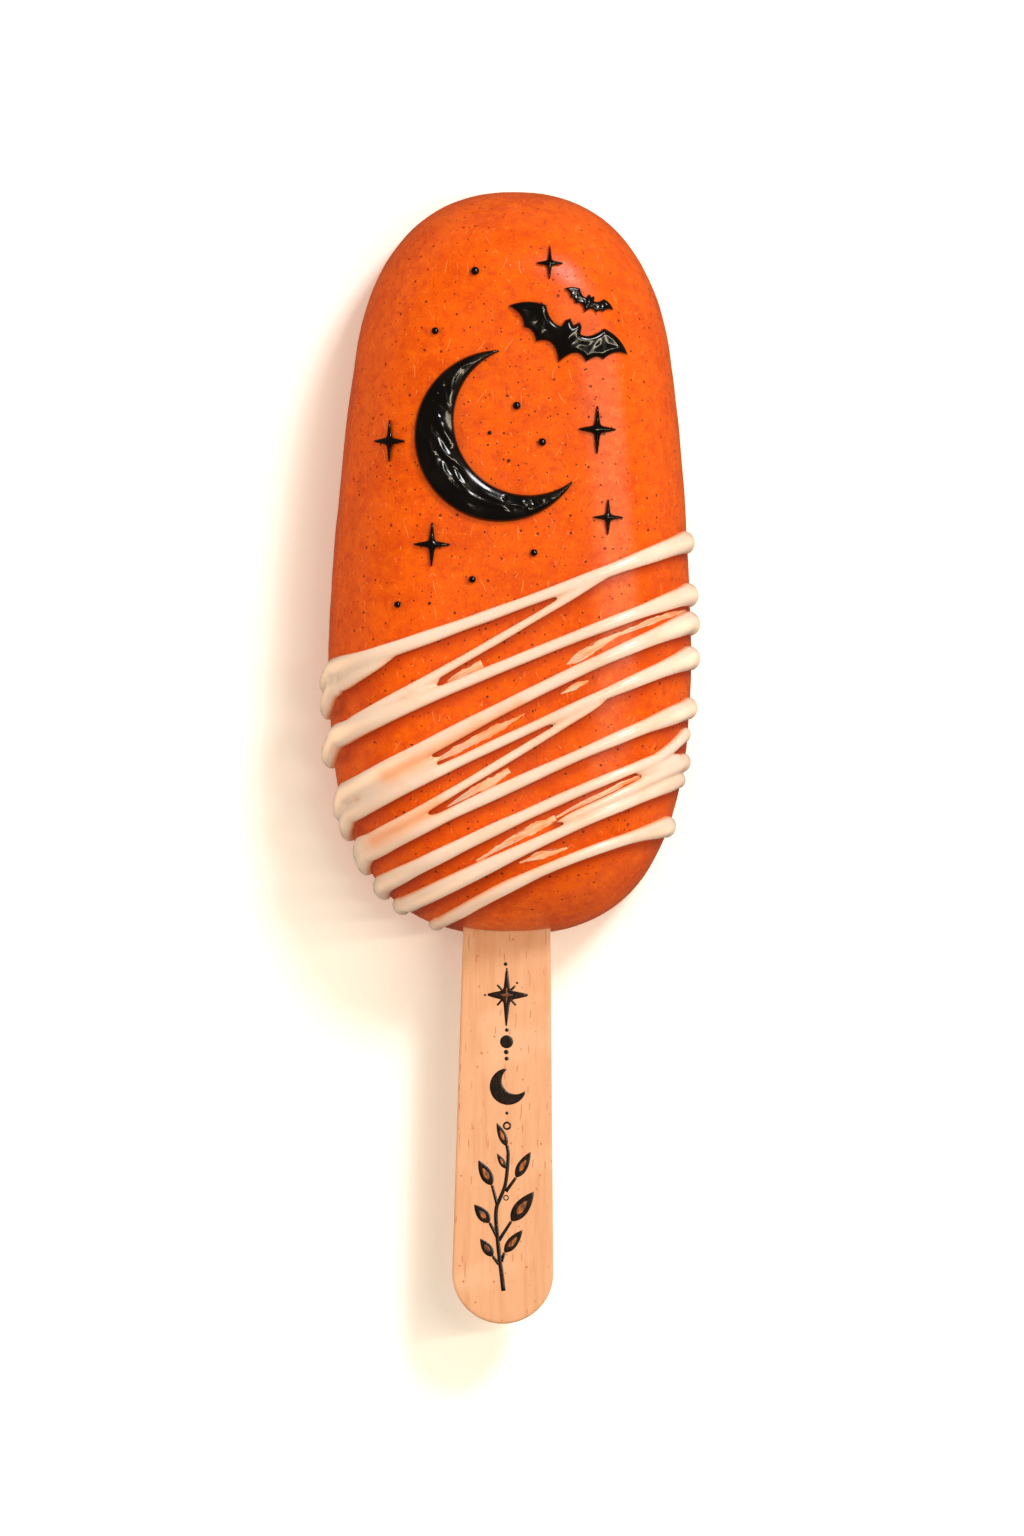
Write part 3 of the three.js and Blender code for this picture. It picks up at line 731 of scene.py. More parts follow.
def strand_rows(strand, seed):
    """Places along a strand, its half widths there and the skin's normals."""
    face, ends, widths, drops = strand
    points, normals, swell = strand_line(strand)
    travelled = travelled_along(points)
    length = travelled[-1]
    near_end = np.array(NEAR_END) * min(ends) / 2
    inner = np.linspace(0, length, int(length / LINE_STEP))[LEFT_OUT:-LEFT_OUT]
    wanted = np.unique(np.concatenate([near_end, inner, length - near_end]))
    place = sampled(points, travelled, wanted)
    normal = sampled(normals, travelled, wanted)
    swollen = np.interp(wanted, travelled, swell)
    tapers = [FREE_TAPER if drop is None else width / 2 for width, drop in zip(ends, drops)]
    to_end = np.minimum(np.minimum(wanted / tapers[0], (length - wanted) / tapers[1]), 1)
    across = (place[:, 0] - face[0][0]) / (face[-1][0] - face[0][0])
    usual = smoothly(np.clip(across, 0, 1) * (len(widths) - 1), widths)
    at_end = np.where(wanted < length / 2, ends[0], ends[1])
    width = (usual + (at_end - usual) * swollen) * np.sqrt(1 - (1 - to_end) ** 2)
    along = np.column_stack([wanted, np.zeros_like(wanted), np.zeros_like(wanted)])
    width *= 1 + WIDTH_NOISE * noise_at(along, NOISE_LENGTH, seed)
    lift = unevenness(place) + STRAND_LIFT
    return place + normal * lift[:, None], width / 2, normal


strand_parts = [strand_rows(strand, seed) for seed, strand in enumerate(STRANDS, FIRST_SEED)]
print("the drizzle has", len(strand_parts), "strands")

# %% [markdown]
# ## Strands by Geometry Nodes
# A strand follows a path, so Geometry Nodes make it: the line is a mesh of edges whose points
# carry a half width and a normal. The tree turns it into a curve, stands the curve's normal on
# the skin, and sweeps a flattened circle along it, scaled at each point by the half width.
# A plain bevelled curve would need a radius for each of its points too, and its cross-section
# couldn't be flattened against the skin.

# %% A tree that sweeps strands along lines
def group_input(tree, name, kind, value=None):
    socket = tree.interface.new_socket(name, in_out="INPUT", socket_type=kind)
    if value is not None:
        socket.default_value = value


def named(tree, name, data_type):
    kind = "GeometryNodeInputNamedAttribute"
    return add_node(tree, kind, {"Name": name}, data_type=data_type).outputs["Attribute"]


def finish_tree(tree, shape):
    """Ends a tree in Set Shade Smooth, Realize Instances and Set Material."""
    outside = next(node for node in tree.nodes if node.type == "GROUP_INPUT")
    smooth = add_node(tree, "GeometryNodeSetShadeSmooth", {"Geometry": shape})
    real = add_node(tree, "GeometryNodeRealizeInstances", {"Geometry": smooth.outputs[0]})
    inputs = {"Geometry": real.outputs[0], "Material": outside.outputs["Material"]}
    dressed = add_node(tree, "GeometryNodeSetMaterial", inputs)
    add_node(tree, "NodeGroupOutput", {0: dressed.outputs[0]})


def strand_tree():
    tree = bpy.data.node_groups.new("strands_along_lines", "GeometryNodeTree")
    group_input(tree, "Lines", "NodeSocketGeometry")
    group_input(tree, "Corners", "NodeSocketInt", 16)
    group_input(tree, "Flatness", "NodeSocketFloat", 1.0)
    group_input(tree, "Material", "NodeSocketMaterial")
    tree.interface.new_socket("Strands", in_out="OUTPUT", socket_type="NodeSocketGeometry")
    outside = add_node(tree, "NodeGroupInput")
    curve = add_node(tree, "GeometryNodeMeshToCurve", {"Mesh": outside.outputs["Lines"]})
    inputs = {"Curve": curve.outputs[0], "Normal": named(tree, "skin_normal", "FLOAT_VECTOR")}
    stood = add_node(tree, "GeometryNodeSetCurveNormal", inputs, mode="FREE")
    inputs = {"Resolution": outside.outputs["Corners"], "Radius": 1.0}
    circle = add_node(tree, "GeometryNodeCurvePrimitiveCircle", inputs)
    scale = add_node(tree, "ShaderNodeCombineXYZ", {0: outside.outputs["Flatness"], 1: 1.0, 2: 1.0})
    inputs = {"Geometry": circle.outputs[0], "Scale": scale.outputs[0]}
    flattened = add_node(tree, "GeometryNodeTransform", inputs)
    inputs = {
        "Curve": stood.outputs[0],
        "Profile Curve": flattened.outputs[0],
        "Scale": named(tree, "half_width", "FLOAT"),
        "Fill Caps": True,
    }
    swept = add_node(tree, "GeometryNodeCurveToMesh", inputs)
    finish_tree(tree, swept.outputs[0])
    return tree


def line_mesh(name, parts):
    """Lines as a mesh of edges, with the half widths and normals of their points."""
    points = np.concatenate([part[0] for part in parts])
    starts = np.cumsum([0] + [len(part[0]) for part in parts])
    edges = [(i, i + 1) for start, end in zip(starts, starts[1:]) for i in range(start, end - 1)]
    mesh = bpy.data.meshes.new(name)
    mesh.from_pydata((points * MM).tolist(), edges, [])
    widths = mesh.attributes.new("half_width", "FLOAT", "POINT")
    widths.data.foreach_set("value", np.concatenate([part[1] for part in parts]) * MM)
    normals = mesh.attributes.new("skin_normal", "FLOAT_VECTOR", "POINT")
    normals.data.foreach_set("vector", np.concatenate([part[2] for part in parts]).ravel())
    piece = bpy.data.objects.new(name, mesh)
    bpy.context.collection.objects.link(piece)
    return piece


def grow(piece, tree, values):
    """Runs a tree on a piece, and keeps the result as the piece's plain mesh."""
    modifier = piece.modifiers.new("grown", "NODES")
    modifier.node_group = tree
    for item in tree.interface.items_tree:
        if item.item_type == "SOCKET" and item.in_out == "INPUT" and item.name in values:
            modifier[item.identifier] = values[item.name]
    bake(piece)


def bake(piece):
    """Replaces a piece's mesh by what its modifiers make of it, and removes them."""
    graph = bpy.context.evaluated_depsgraph_get()
    mesh = bpy.data.meshes.new_from_object(piece.evaluated_get(graph), depsgraph=graph)
    piece.modifiers.clear()
    piece.data = mesh


# %% [markdown]
# ## One poured drizzle
# Where two strands meet they flowed into one. A voxel remesh turns the overlapping tubes into
# one closed skin, and some smoothing rounds the creases, as the liquid did before it set.

# %% Pour the drizzle
STRAND_CORNERS = 20
STRAND_FLATNESS = 0.86
VOXEL = 0.18
SMOOTH_FACTOR = 0.5
SMOOTHING = 15


def add_smoothing(piece, rounds):
    smooth = piece.modifiers.new("round", "SMOOTH")
    smooth.factor = SMOOTH_FACTOR
    smooth.iterations = rounds
    return smooth


white_drizzle = line_mesh("white_drizzle", strand_parts)
grow(white_drizzle, strand_tree(), {"Corners": STRAND_CORNERS, "Flatness": STRAND_FLATNESS})
remesh = white_drizzle.modifiers.new("melt", "REMESH")
remesh.mode = "VOXEL"
remesh.voxel_size = VOXEL * MM
remesh.use_smooth_shade = True
add_smoothing(white_drizzle, SMOOTHING)
bake(white_drizzle)

# %% [markdown]
# ## Rounder where it is thick
# Where strands lie on each other, at the loops, the chocolate stands high and set smooth. So
# each point's height over the coating is measured, and the high places are smoothed more.
# The remesh made its triangles as small on these broad backs as in the corners. Merging the
# edges that matter least leaves about half of them, and the shape stays.

# %% Round the thick places and thin the mesh
ROUND_FROM = 0.7  # height over the coating at which the further smoothing starts
ROUND_OVER = 0.5  # the height over which it reaches its full strength
THICK_ROUNDS = 50
KEPT_FACES = 0.55
HARDLY_ANY = 1e-6  # keeps a height of nothing from being divided by


def places_of(piece):
    points = np.zeros(len(piece.data.vertices) * 3)
    piece.data.vertices.foreach_get("co", points)
    return points.reshape(-1, 3) / MM


def height_over_coating(points):
    """How far points lie from the skin, from how far it is straight down and straight inwards."""
    inset, _, _ = nearest_rim(points)
    down = np.abs(points[:, 2] - skin_height(inset)) + HARDLY_ANY
    inwards = np.abs(skin_inset(points[:, 2]) - inset)
    inwards = np.where(points[:, 2] < HEAD_HEIGHT, inwards, HEAD_HEIGHT)
    return down * inwards / np.hypot(down, inwards)


def smooth_where(piece, weights, rounds):
    """Smooths a piece by weights from 0 to 1, one for each of its points."""
    group = piece.vertex_groups.new(name="rounded")
    for index in np.flatnonzero(weights > 0).tolist():
        group.add([index], float(weights[index]), "REPLACE")
    add_smoothing(piece, rounds).vertex_group = group.name
    bake(piece)
    piece.vertex_groups.clear()


thick = height_over_coating(places_of(white_drizzle))
smooth_where(white_drizzle, np.clip((thick - ROUND_FROM) / ROUND_OVER, 0, 1), THICK_ROUNDS)
thinned = white_drizzle.modifiers.new("fewer_faces", "DECIMATE")
thinned.ratio = KEPT_FACES
bake(white_drizzle)
white_drizzle.data.validate()  # takes out any face that the thinning spoiled
drizzle_points = places_of(white_drizzle)
print("the drizzle has", len(drizzle_points), "points")

# %% [markdown]
# ## What the materials read
# White chocolate is translucent: where it is thin, at its edges, the orange tints it. So each
# point of the drizzle keeps its height over the coating. Two stretches are peach all through, so
# each point also keeps how near it lies to the lines of these.
# The coating gets painted shade just below each strand: a deeper orange where the strand would
# shade it. So the coating's points keep how near they are to the strands' lower edges. A texture
# could be painted with all this, but numbers on the points need no image.

# %% Numbers kept with the points
PEACH_LINES = [
    [(-15.6, -27.3), (-8.8, -23.9), (-1.2, -20.0), (1.4, -18.4)],
    [(-17.0, -35.6), (-13.0, -33.4), (-9.0, -31.0)],
]
PEACH_REACH = 1.15
EDGE_GAP = 0.15
PAINTED_SHADE_REACH = 0.9


def keep_attribute(piece, name, values):
    made = piece.data.attributes.new(name, "FLOAT", "POINT")
    made.data.foreach_set("value", values)


def near_lines(points, lines, reach):
    """1 on any of the lines, seen from above, and falling off smoothly beside it."""
    flat = points[:, :2]
    gaps = [edge_distance(flat, np.array(line), closed=False) for line in lines]
    return np.maximum.reduce([bump_at(gap, reach) for gap in gaps])


def lower_edge(part):
    """A line just beside a strand, on the side of the stick."""
    flat = part[0][:, :2]
    return flat - aside_of(flat) * (part[1] + EDGE_GAP)[:, None]


keep_attribute(white_drizzle, "thickness", height_over_coating(drizzle_points))
keep_attribute(white_drizzle, "peach", near_lines(drizzle_points, PEACH_LINES, PEACH_REACH))
coating_points = places_of(orange_coating)
lower_edges = [lower_edge(part) for part in strand_parts]
face_share = np.clip(coating_points[:, 2] / WIDEST_Z - 1, 0, 1)
# how strongly each point of the coating gets painted shade below a strand
painted_shade_share = near_lines(coating_points, lower_edges, PAINTED_SHADE_REACH) * face_share
keep_attribute(orange_coating, "painted_strand_shade", painted_shade_share)

# %% [markdown]
# ## White chocolate
# The drizzle is cream, a little darker and warmer in soft clouds, and brightest where it is
# thick. That is partly its own colour, as thick chocolate hides the orange, and partly painted
# light that lifts the loops on the shaded left side. Towards its thin edges it turns peach, by the
# height that each point keeps. It is glossier than the coating, and lets light in deeper.

# %% White chocolate
CREAM = screen_colour(215, 193, 179)
CREAM_SHADE = screen_colour(213, 183, 161)
# partly painted light: the lighter cream of the thick loops also lifts those on the shaded left side
CREAM_THICK_PAINTED_LIGHT = screen_colour(246, 220, 198)
PEACH = screen_colour(226, 140, 72)
WHITE_TINTS = [  # what it follows, where the tint starts and is full, its share and its colour
    ("clouds", 0.45, 0.7, 0.75, CREAM_SHADE),
    # partly the thick chocolate's own colour, partly painted light on the shaded loops
    ("thickness", 1.05, 1.55, 1.0, CREAM_THICK_PAINTED_LIGHT),
    ("uneven_thickness", 0.98, 0.15, 0.8, PEACH),
]


def white_chocolate():
    material, tree, shader = new_material("white_chocolate")
    place = object_place(tree)
    clouds = cloudy(tree, place, scale=190.0, detail=3.0, roughness=0.6)
    streaks = cloudy(tree, place, scale=700.0, detail=2.0)
    swells = cloudy(tree, place, scale=260.0, detail=1.0)
    thickness = kept_with_points(tree, "thickness")
    uneven = reckoned(tree, "ADD", thickness, reckoned(tree, "MULTIPLY", clouds, 0.25))
    values = {"clouds": clouds, "thickness": thickness, "uneven_thickness": uneven}
    colour = tinted(tree, values, CREAM, WHITE_TINTS)
    look = {
        "Base Color": marked(tree, colour, [(kept_with_points(tree, "peach"), 0.6, PEACH)]),
        "Roughness": stepped(tree, streaks, 0.3, 0.7, low=0.16, high=0.24),
        "Normal": bumpy(tree, swells, strength=0.2, reach=0.06),
        "Specular IOR Level": 0.5,
        "Subsurface Weight": 0.5,
        "Subsurface Radius": (1.0, 0.55, 0.3),
        "Subsurface Scale": 1.2 * MM,
    }
    fill_inputs(tree, shader, look)
    return material


white_material = white_chocolate()
settle(white_drizzle, white_material, "coated_cake")

# %% [markdown]
# ## Low relief
# The films, the moon, the bats, the stars and the ornament on the stick are all the same kind
# of thing: a flat outline with a modelled top that lies on the skin or on the stick. Sculpting
# each by hand would take long. Here the outline is filled with a fine net of triangles, each
# point gets its distance to the edge, and a function of that distance gives the height. Rows of
# points just inside the edge make its rounding smooth.

# %% Bodies with a modelled top
EDGE_ROWS = (0.03, 0.09, 0.17, 0.28)
ROW_CLEARANCE = 0.85  # how near to another part of the edge a row may come, against its depth
NET_REACH = 1e-5  # points of the net closer than this become one


def is_inside(flat, outline):
    """Whether places lie in an outline, by counting the lines to the right of each."""
    x, y = flat[:, 0, None], flat[:, 1, None]
    (x0, y0), (x1, y1) = outline.T, np.roll(outline, -1, axis=0).T
    spans = (y0 > y) != (y1 > y)
    rise = np.where(y1 == y0, TINY, y1 - y0)
    return (spans & (x < x0 + (y - y0) * (x1 - x0) / rise)).sum(axis=1) % 2 == 1


def net_points(outline, spacing):
    """Places inside an outline: rows along its edge, and a net of even triangles."""
    rows = [outline - outward_of(outline) * depth for depth in EDGE_ROWS]
    kept = [
        row[edge_distance(row, outline) > ROW_CLEARANCE * depth]
        for row, depth in zip(rows, EDGE_ROWS)
    ]
    low, high = outline.min(axis=0), outline.max(axis=0)
    columns = np.arange(low[0], high[0], spacing)
    lines = np.arange(low[1], high[1], spacing * math.sqrt(0.75))
    x, y = np.meshgrid(columns, lines)
    x = x + (np.arange(len(lines)) % 2)[:, None] * spacing / 2
    net = np.column_stack([x.ravel(), y.ravel()])
    net = net[edge_distance(net, outline) > EDGE_ROWS[-1] + spacing / 2]
    flat = np.concatenate(kept + [net])
    return flat[is_inside(flat, outline)]


def relief_body(outline, top_over, base_of, root, spacing):
    """Points and faces of a closed body. Its top lies top_over(places, edge distances) over
    base_of(places), and its back lies the root below that base."""
    flat = np.concatenate([outline, net_points(outline, spacing)])
    given = [Vector(place) for place in flat.tolist()]
    found = geometry.delaunay_2d_cdt(given, [], [list(range(len(outline)))], 1, NET_REACH)
    flat = np.array([tuple(place) for place in found[0]])
    faces = np.array(found[2])
    one, two, three = flat[faces[:, 0]], flat[faces[:, 1]], flat[faces[:, 2]]
    turn = (two - one)[:, 0] * (three - one)[:, 1] - (two - one)[:, 1] * (three - one)[:, 0]
    faces[turn < 0] = faces[turn < 0][:, ::-1]
    faces = faces[is_inside((one + two + three) / 3, outline)]
    base = base_of(flat)
    top = np.column_stack([flat, base + top_over(flat, edge_distance(flat, outline))])
    bottom = np.column_stack([flat, base - root])
    sides = {(a, b) for face in faces.tolist() for a, b in zip(face, face[1:] + face[:1])}
    count = len(flat)
    walls = [(b, a, a + count, b + count) for a, b in sorted(sides) if (b, a) not in sides]
    under = (faces[:, ::-1] + count).tolist()
    return np.concatenate([top, bottom]), faces.tolist() + under + walls


def relief_piece(name, bodies):
    points = np.concatenate([body[0] for body in bodies])
    starts = np.cumsum([0] + [len(body[0]) for body in bodies])
    faces = [tuple(i + start for i in face) for start, body in zip(starts, bodies) for face in body[1]]
    return mesh_piece(name, points, faces)


def rounded_edge(distance, reach):
    """Rises like a quarter circle from 0 at the edge to 1 at the reach."""
    return np.sqrt(1 - (1 - np.clip(distance / reach, 0, 1)) ** 2)


# %% [markdown]
# ## The moon
# The moon was modelled by hand in black chocolate. Its outline lies between two circles, and
# its top falls away smoothly to both of them. On top there are folds, like those of a draped
# cloth, that run slantwise into the inner edge, and a few small lumps near the lower tip.
# A wave could make folds that are all alike. These aren't, so each is a short line with a
# width and a height, and the distance to that line gives a soft ridge, or a dent.

# %% Moon
MOON_OUTER = ((-1.54, 16.1), 10.96)
MOON_INNER = ((2.05, 18.16), 9.52)
TIP_SHARE = 0.014  # how much of each tip is cut off
MOON_STEPS = 170
MOON_NET = 0.12
MOON_EDGE = 0.45
MOON_ROUNDING = 0.3
MOON_RISE = 0.85
MOON_DOME = 1.7  # width of the outer slope where the moon is widest
MOON_BEVEL = 1.5  # width of the inner slope
MOON_BEVEL_DROP = 0.62  # how far the inner slope goes down, against the whole rise
MOON_WIDEST = 4.9
LEAST_ROOM = 0.02  # the tips are as wide as this at least, against the widest place
TIP_THINNING = 0.6  # how its rise follows its width
RELIEF_ROOT = 0.35  # how far this and the other toppings reach below the skin
FOLD_STEPS = 13
FOLD_END = 0.12
FOLD_SCALE = 0.95
FOLD_SPREAD = 1.1
FOLD_ROOM = 1.6  # how soon the folds get lower towards the tips
FOLDS = [  # a line, its width and its height, which is below 0 for a dent
    ([(-4.7, 25.7), (-6.4, 25.0), (-7.4, 24.1)], 0.32, 0.14),
    ([(-7.0, 24.4), (-7.7, 23.3), (-8.0, 22.0)], 0.2, 0.15),
    ([(-6.6, 24.3), (-7.2, 23.3), (-7.5, 22.3)], 0.2, 0.12),
    ([(-9.1, 23.0), (-8.9, 22.3)], 0.24, 0.13),
    ([(-9.8, 21.6), (-9.7, 21.4)], 0.18, 0.12),
    ([(-10.4, 20.6), (-10.2, 20.4)], 0.18, 0.12),
    ([(-8.8, 22.0), (-8.5, 20.7), (-8.0, 19.3)], 0.24, 0.15),
    ([(-9.9, 20.1), (-9.0, 19.5)], 0.2, 0.12),
    ([(-9.8, 18.9), (-9.2, 18.2)], 0.18, 0.12),
    ([(-9.8, 18.3), (-8.9, 16.9), (-7.9, 15.2)], 0.42, 0.24),
    ([(-10.6, 18.0), (-10.5, 16.6), (-9.8, 15.9)], 0.26, 0.15),
    ([(-9.6, 16.9), (-9.0, 15.7), (-8.0, 14.3)], 0.3, -0.16),
    ([(-10.7, 15.7), (-10.5, 14.5), (-9.9, 13.9)], 0.26, 0.15),
    ([(-9.5, 15.3), (-8.9, 14.1), (-7.9, 13.1)], 0.38, 0.26),
    ([(-9.6, 14.2), (-9.0, 13.2), (-7.9, 12.1)], 0.32, -0.16),
    ([(-10.0, 13.1), (-9.4, 12.0), (-8.3, 10.7), (-6.6, 9.1)], 0.36, 0.22),
    ([(-8.9, 12.7), (-8.6, 11.6), (-7.4, 10.6)], 0.26, 0.18),
    ([(-7.3, 12.4), (-6.8, 11.6), (-6.0, 10.6)], 0.32, -0.16),
    ([(-7.3, 11.4), (-6.8, 10.4), (-6.2, 9.9)], 0.3, 0.18),
    ([(-6.3, 9.9), (-5.4, 8.6), (-3.4, 7.7), (0.0, 7.0)], 0.34, 0.2),
    ([(-5.5, 7.6), (-4.4, 7.1), (-2.6, 6.9)], 0.3, -0.12),
    ([(-1.4, 6.9), (-0.4, 6.4)], 0.24, 0.14),
    ([(-3.9, 8.8), (-1.7, 7.9), (1.3, 7.2)], 0.26, 0.13),
    ([(-0.9, 8.3), (-0.9, 8.1)], 0.2, -0.22),
    ([(1.1, 8.0), (1.7, 7.4)], 0.18, 0.14),
    ([(2.4, 8.0), (3.0, 7.4)], 0.18, -0.14),
    ([(3.8, 8.1), (3.9, 7.9)], 0.18, 0.14),
    ([(4.7, 8.2), (5.2, 8.3)], 0.16, 0.12),
    ([(1.9, 6.8), (2.3, 6.8)], 0.18, 0.12),
]


def crossing_angles(circle, other):
    """Angles round a circle's middle at which another circle crosses it."""
    (middle, radius), (away, far) = circle, other
    between = np.subtract(away, middle)
    apart = np.hypot(*between)
    half = math.acos((apart**2 + radius**2 - far**2) / (2 * apart * radius))
    along = math.atan2(between[1], between[0])
    return along + half, along - half


def arc(circle, start, end, share):
    angle = start + (end - start) * share
    return np.add(circle[0], circle[1] * np.column_stack([np.cos(angle), np.sin(angle)]))


def crescent(outer, inner, steps, tip_share=TIP_SHARE):
    """The outline between two circles, anticlockwise."""
    share = np.linspace(tip_share, 1 - tip_share, steps)
    start, end = crossing_angles(outer, inner)
    outside = arc(outer, start, end + 2 * math.pi, share)
    inside = arc(inner, *crossing_angles(inner, outer), share)
    return np.concatenate([outside, inside])


def nearest_on(flat, line):
    """Distance of places to a line, and how far along the line, as a share, the nearest point is."""
    run = np.diff(line, axis=0)
    offset = flat[:, None] - line[None, :-1]
    share = np.clip((offset * run).sum(axis=2) / (run**2).sum(axis=1), 0, 1)
    gap = np.linalg.norm(offset - share[:, :, None] * run, axis=2)
    best = np.argmin(gap, axis=1)
    rows = np.arange(len(flat))
    return gap[rows, best], (best + share[rows, best]) / len(run)


def folds_at(flat):
    """Height of all the folds together. Each is a smooth curve, and fades out at both ends."""
    total = np.zeros(len(flat))
    for line, width, height in FOLDS:
        fine = np.linspace(0, len(line) - 1, FOLD_STEPS)
        distance, share = nearest_on(flat, smooth_curve(fine, line))
        fade = np.sin(math.pi * (FOLD_END + (1 - 2 * FOLD_END) * share))
        total += FOLD_SCALE * height * fade * bump_at(distance, FOLD_SPREAD * width)
    return total


def moon_top(flat, edge):
    from_outer = MOON_OUTER[1] - np.linalg.norm(flat - MOON_OUTER[0], axis=1)
    from_inner = np.linalg.norm(flat - MOON_INNER[0], axis=1) - MOON_INNER[1]
    room = np.clip((from_outer + from_inner) / MOON_WIDEST, LEAST_ROOM, 1)
    outer_slope = rounded_edge(from_outer, MOON_DOME * room)
    bevel = (1 - np.clip(from_inner / (MOON_BEVEL * room), 0, 1)) ** 2
    inner_slope = 1 - MOON_BEVEL_DROP * bevel
    dome = MOON_RISE * room**TIP_THINNING * outer_slope * inner_slope
    body = dome + folds_at(flat) * np.minimum(FOLD_ROOM * room, 1)
    rounding = rounded_edge(edge, MOON_ROUNDING)
    return MOON_EDGE * (0.5 + 0.5 * rounding) + body * rounding


moon_outline = crescent(MOON_OUTER, MOON_INNER, MOON_STEPS)
moon_body = relief_body(moon_outline, moon_top, face_height, RELIEF_ROOT, MOON_NET)
moon_relief = relief_piece("moon_relief", [moon_body])

# %% [markdown]
# ## The bats
# Each bat is a thin leaf of black chocolate with a thick rounded rim. The wings are dished
# inside that rim, with a ridge along their front and ribs to their points, and the body is
# raised. Half of the outline is given as shares of the wing span, and the other half mirrors
# it. The left wing came out a little longer than the right one. The widths and places below are
# shares of the span too, and the heights are shares of the bat's rise.

# %% Bats
CORNER_STEPS = 4
CURVED_STEPS = 16
BAT_BROW = 0.052
BAT_HALF = [
    ((0.04, 0.092), None),  # ear
    ((0.07, 0.062), None),
    ((0.08, 0.008), None),  # neck
    ((0.242, 0.118), (0.17, -0.005)),  # wrist
    ((0.5, 0), (0.4, 0.11)),  # wing tip
    ((0.333, -0.11), (0.375, -0.005)),
    ((0.21, -0.178), (0.262, -0.085)),
    ((0, -0.262), (0.095, -0.07)),  # tail
]
BAT_FRONT = [(0.085, 0.0), (0.16, 0.045), (0.242, 0.1), (0.37, 0.078), (0.48, 0.01)]
BAT_RIBS = [
    [(0.245, 0.1), (0.29, 0.0), (0.333, -0.1)],
    [(0.24, 0.1), (0.215, -0.04), (0.21, -0.165)],
    [(0.1, -0.01), (0.06, -0.12), (0, -0.25)],
]
LEFT_WING = 1.05
RIGHT_WING = 0.95
BAT_EDGE = 0.2  # in millimetres
BAT_RIM = 0.042
BAT_FRONT_WIDTH = 0.026
BAT_FRONT_RISE = 0.1
BAT_RIB_WIDTH = 0.034
BAT_TRUNK_SIZE = (0.055, 0.12)
BAT_TRUNK_Y = -0.055
BAT_TRUNK_RISE = 0.55
BAT_TRUNK_REACH = 2  # this and the next two against the rim
DISH_FROM = 0.6
DISH_OVER = 2
BAT_DISH = 0.26
BAT_NET = 130  # the net's points in a span
FINEST_NET = 0.075  # in millimetres
BATS = [
    {"name": "bat_large", "at": (7.3, 29.55), "span": 16.4, "turn": -21.3, "rise": 0.62},
    {"name": "bat_small", "at": (9.7, 33.6), "span": 6.8, "turn": -22.8, "rise": 0.42},
]


def bat_outline(span):
    """The outline about the middle of the body, anticlockwise."""
    here = (0, BAT_BROW)
    parts = []
    for end, handle in BAT_HALF:
        handles = [here, end] if handle is None else [here, handle, end]
        steps = CORNER_STEPS if handle is None else CURVED_STEPS
        parts.append(bezier(handles, steps)[:-1])
        here = end
    half = np.concatenate(parts + [np.array([here], float)]) * span
    right = half * (RIGHT_WING, 1)
    left = half[-2:0:-1] * (-LEFT_WING, 1)
    return np.concatenate([right, left])[::-1]


def turned(flat, degrees):
    angle = math.radians(degrees)
    spin = np.array([[math.cos(angle), math.sin(angle)], [-math.sin(angle), math.cos(angle)]])
    return flat @ spin


def bat_body(bat):
    span, rise = bat["span"], bat["rise"]
    outline = turned(bat_outline(span), bat["turn"]) + bat["at"]
    rim_reach = BAT_RIM * span

    def ridge(half, line, width):
        return bump_at(edge_distance(half, np.array(line), closed=False), width)

    def top(flat, edge):
        own = turned(flat - bat["at"], -bat["turn"]) / span
        wing = np.where(own[:, 0] < 0, LEFT_WING, RIGHT_WING)
        half = np.column_stack([np.abs(own[:, 0]) / wing, own[:, 1]])
        front = ridge(half, BAT_FRONT, BAT_FRONT_WIDTH)
        ribs = np.maximum.reduce([ridge(half, line, BAT_RIB_WIDTH) for line in BAT_RIBS])
        wide, long = BAT_TRUNK_SIZE
        trunk = bump_at(np.hypot(half[:, 0] / wide, (own[:, 1] - BAT_TRUNK_Y) / long), 1)
        dish = np.clip((edge - DISH_FROM * rim_reach) / (DISH_OVER * rim_reach), 0, 1)
        dish = dish**2 * (3 - 2 * dish) * (1 - np.maximum(ribs, trunk))
        leaf = rounded_edge(edge, rim_reach) * (1 - BAT_DISH * dish)
        body = BAT_TRUNK_RISE * trunk * rounded_edge(edge, BAT_TRUNK_REACH * rim_reach)
        return BAT_EDGE + rise * (leaf + BAT_FRONT_RISE * front + body)

    spacing = max(FINEST_NET, span / BAT_NET)
    return relief_body(outline, top, face_height, RELIEF_ROOT, spacing)


bat_pieces = [relief_piece(bat["name"] + "_relief", [bat_body(bat)]) for bat in BATS]

# %% [markdown]
# ## Stars
# The stars have four thin arms, those at the sides shorter than the other two, and a rounded
# top. A star could be drawn point by point, but one curve from arm to arm, turned by a quarter
# each time, is its whole outline. The top rises from the edge like a quarter circle.

# %% Stars
STAR_TIP = (1.0, 0.035)  # a curve between two arms, against their lengths
STAR_HANDLE = (-0.06, 0.26)
STAR_STEPS = 24
STAR_EDGE = 0.24
STAR_RISE = 0.6
STAR_REACH = 0.75
STAR_NET = 0.11
STARS = [
    {"at": (4.5, 38.2), "up": 2.2, "down": 2.0, "side": 1.65},
    {"at": (-15.7, 15.3), "up": 2.7, "down": 2.65, "side": 1.95},
    {"at": (10.8, 17.1), "up": 2.95, "down": 3.1, "side": 2.35},
    {"at": (12.3, 5.9), "up": 2.3, "down": 2.2, "side": 1.9},
    {"at": (-10.1, 2.2), "up": 2.8, "down": 2.75, "side": 2.3},
]


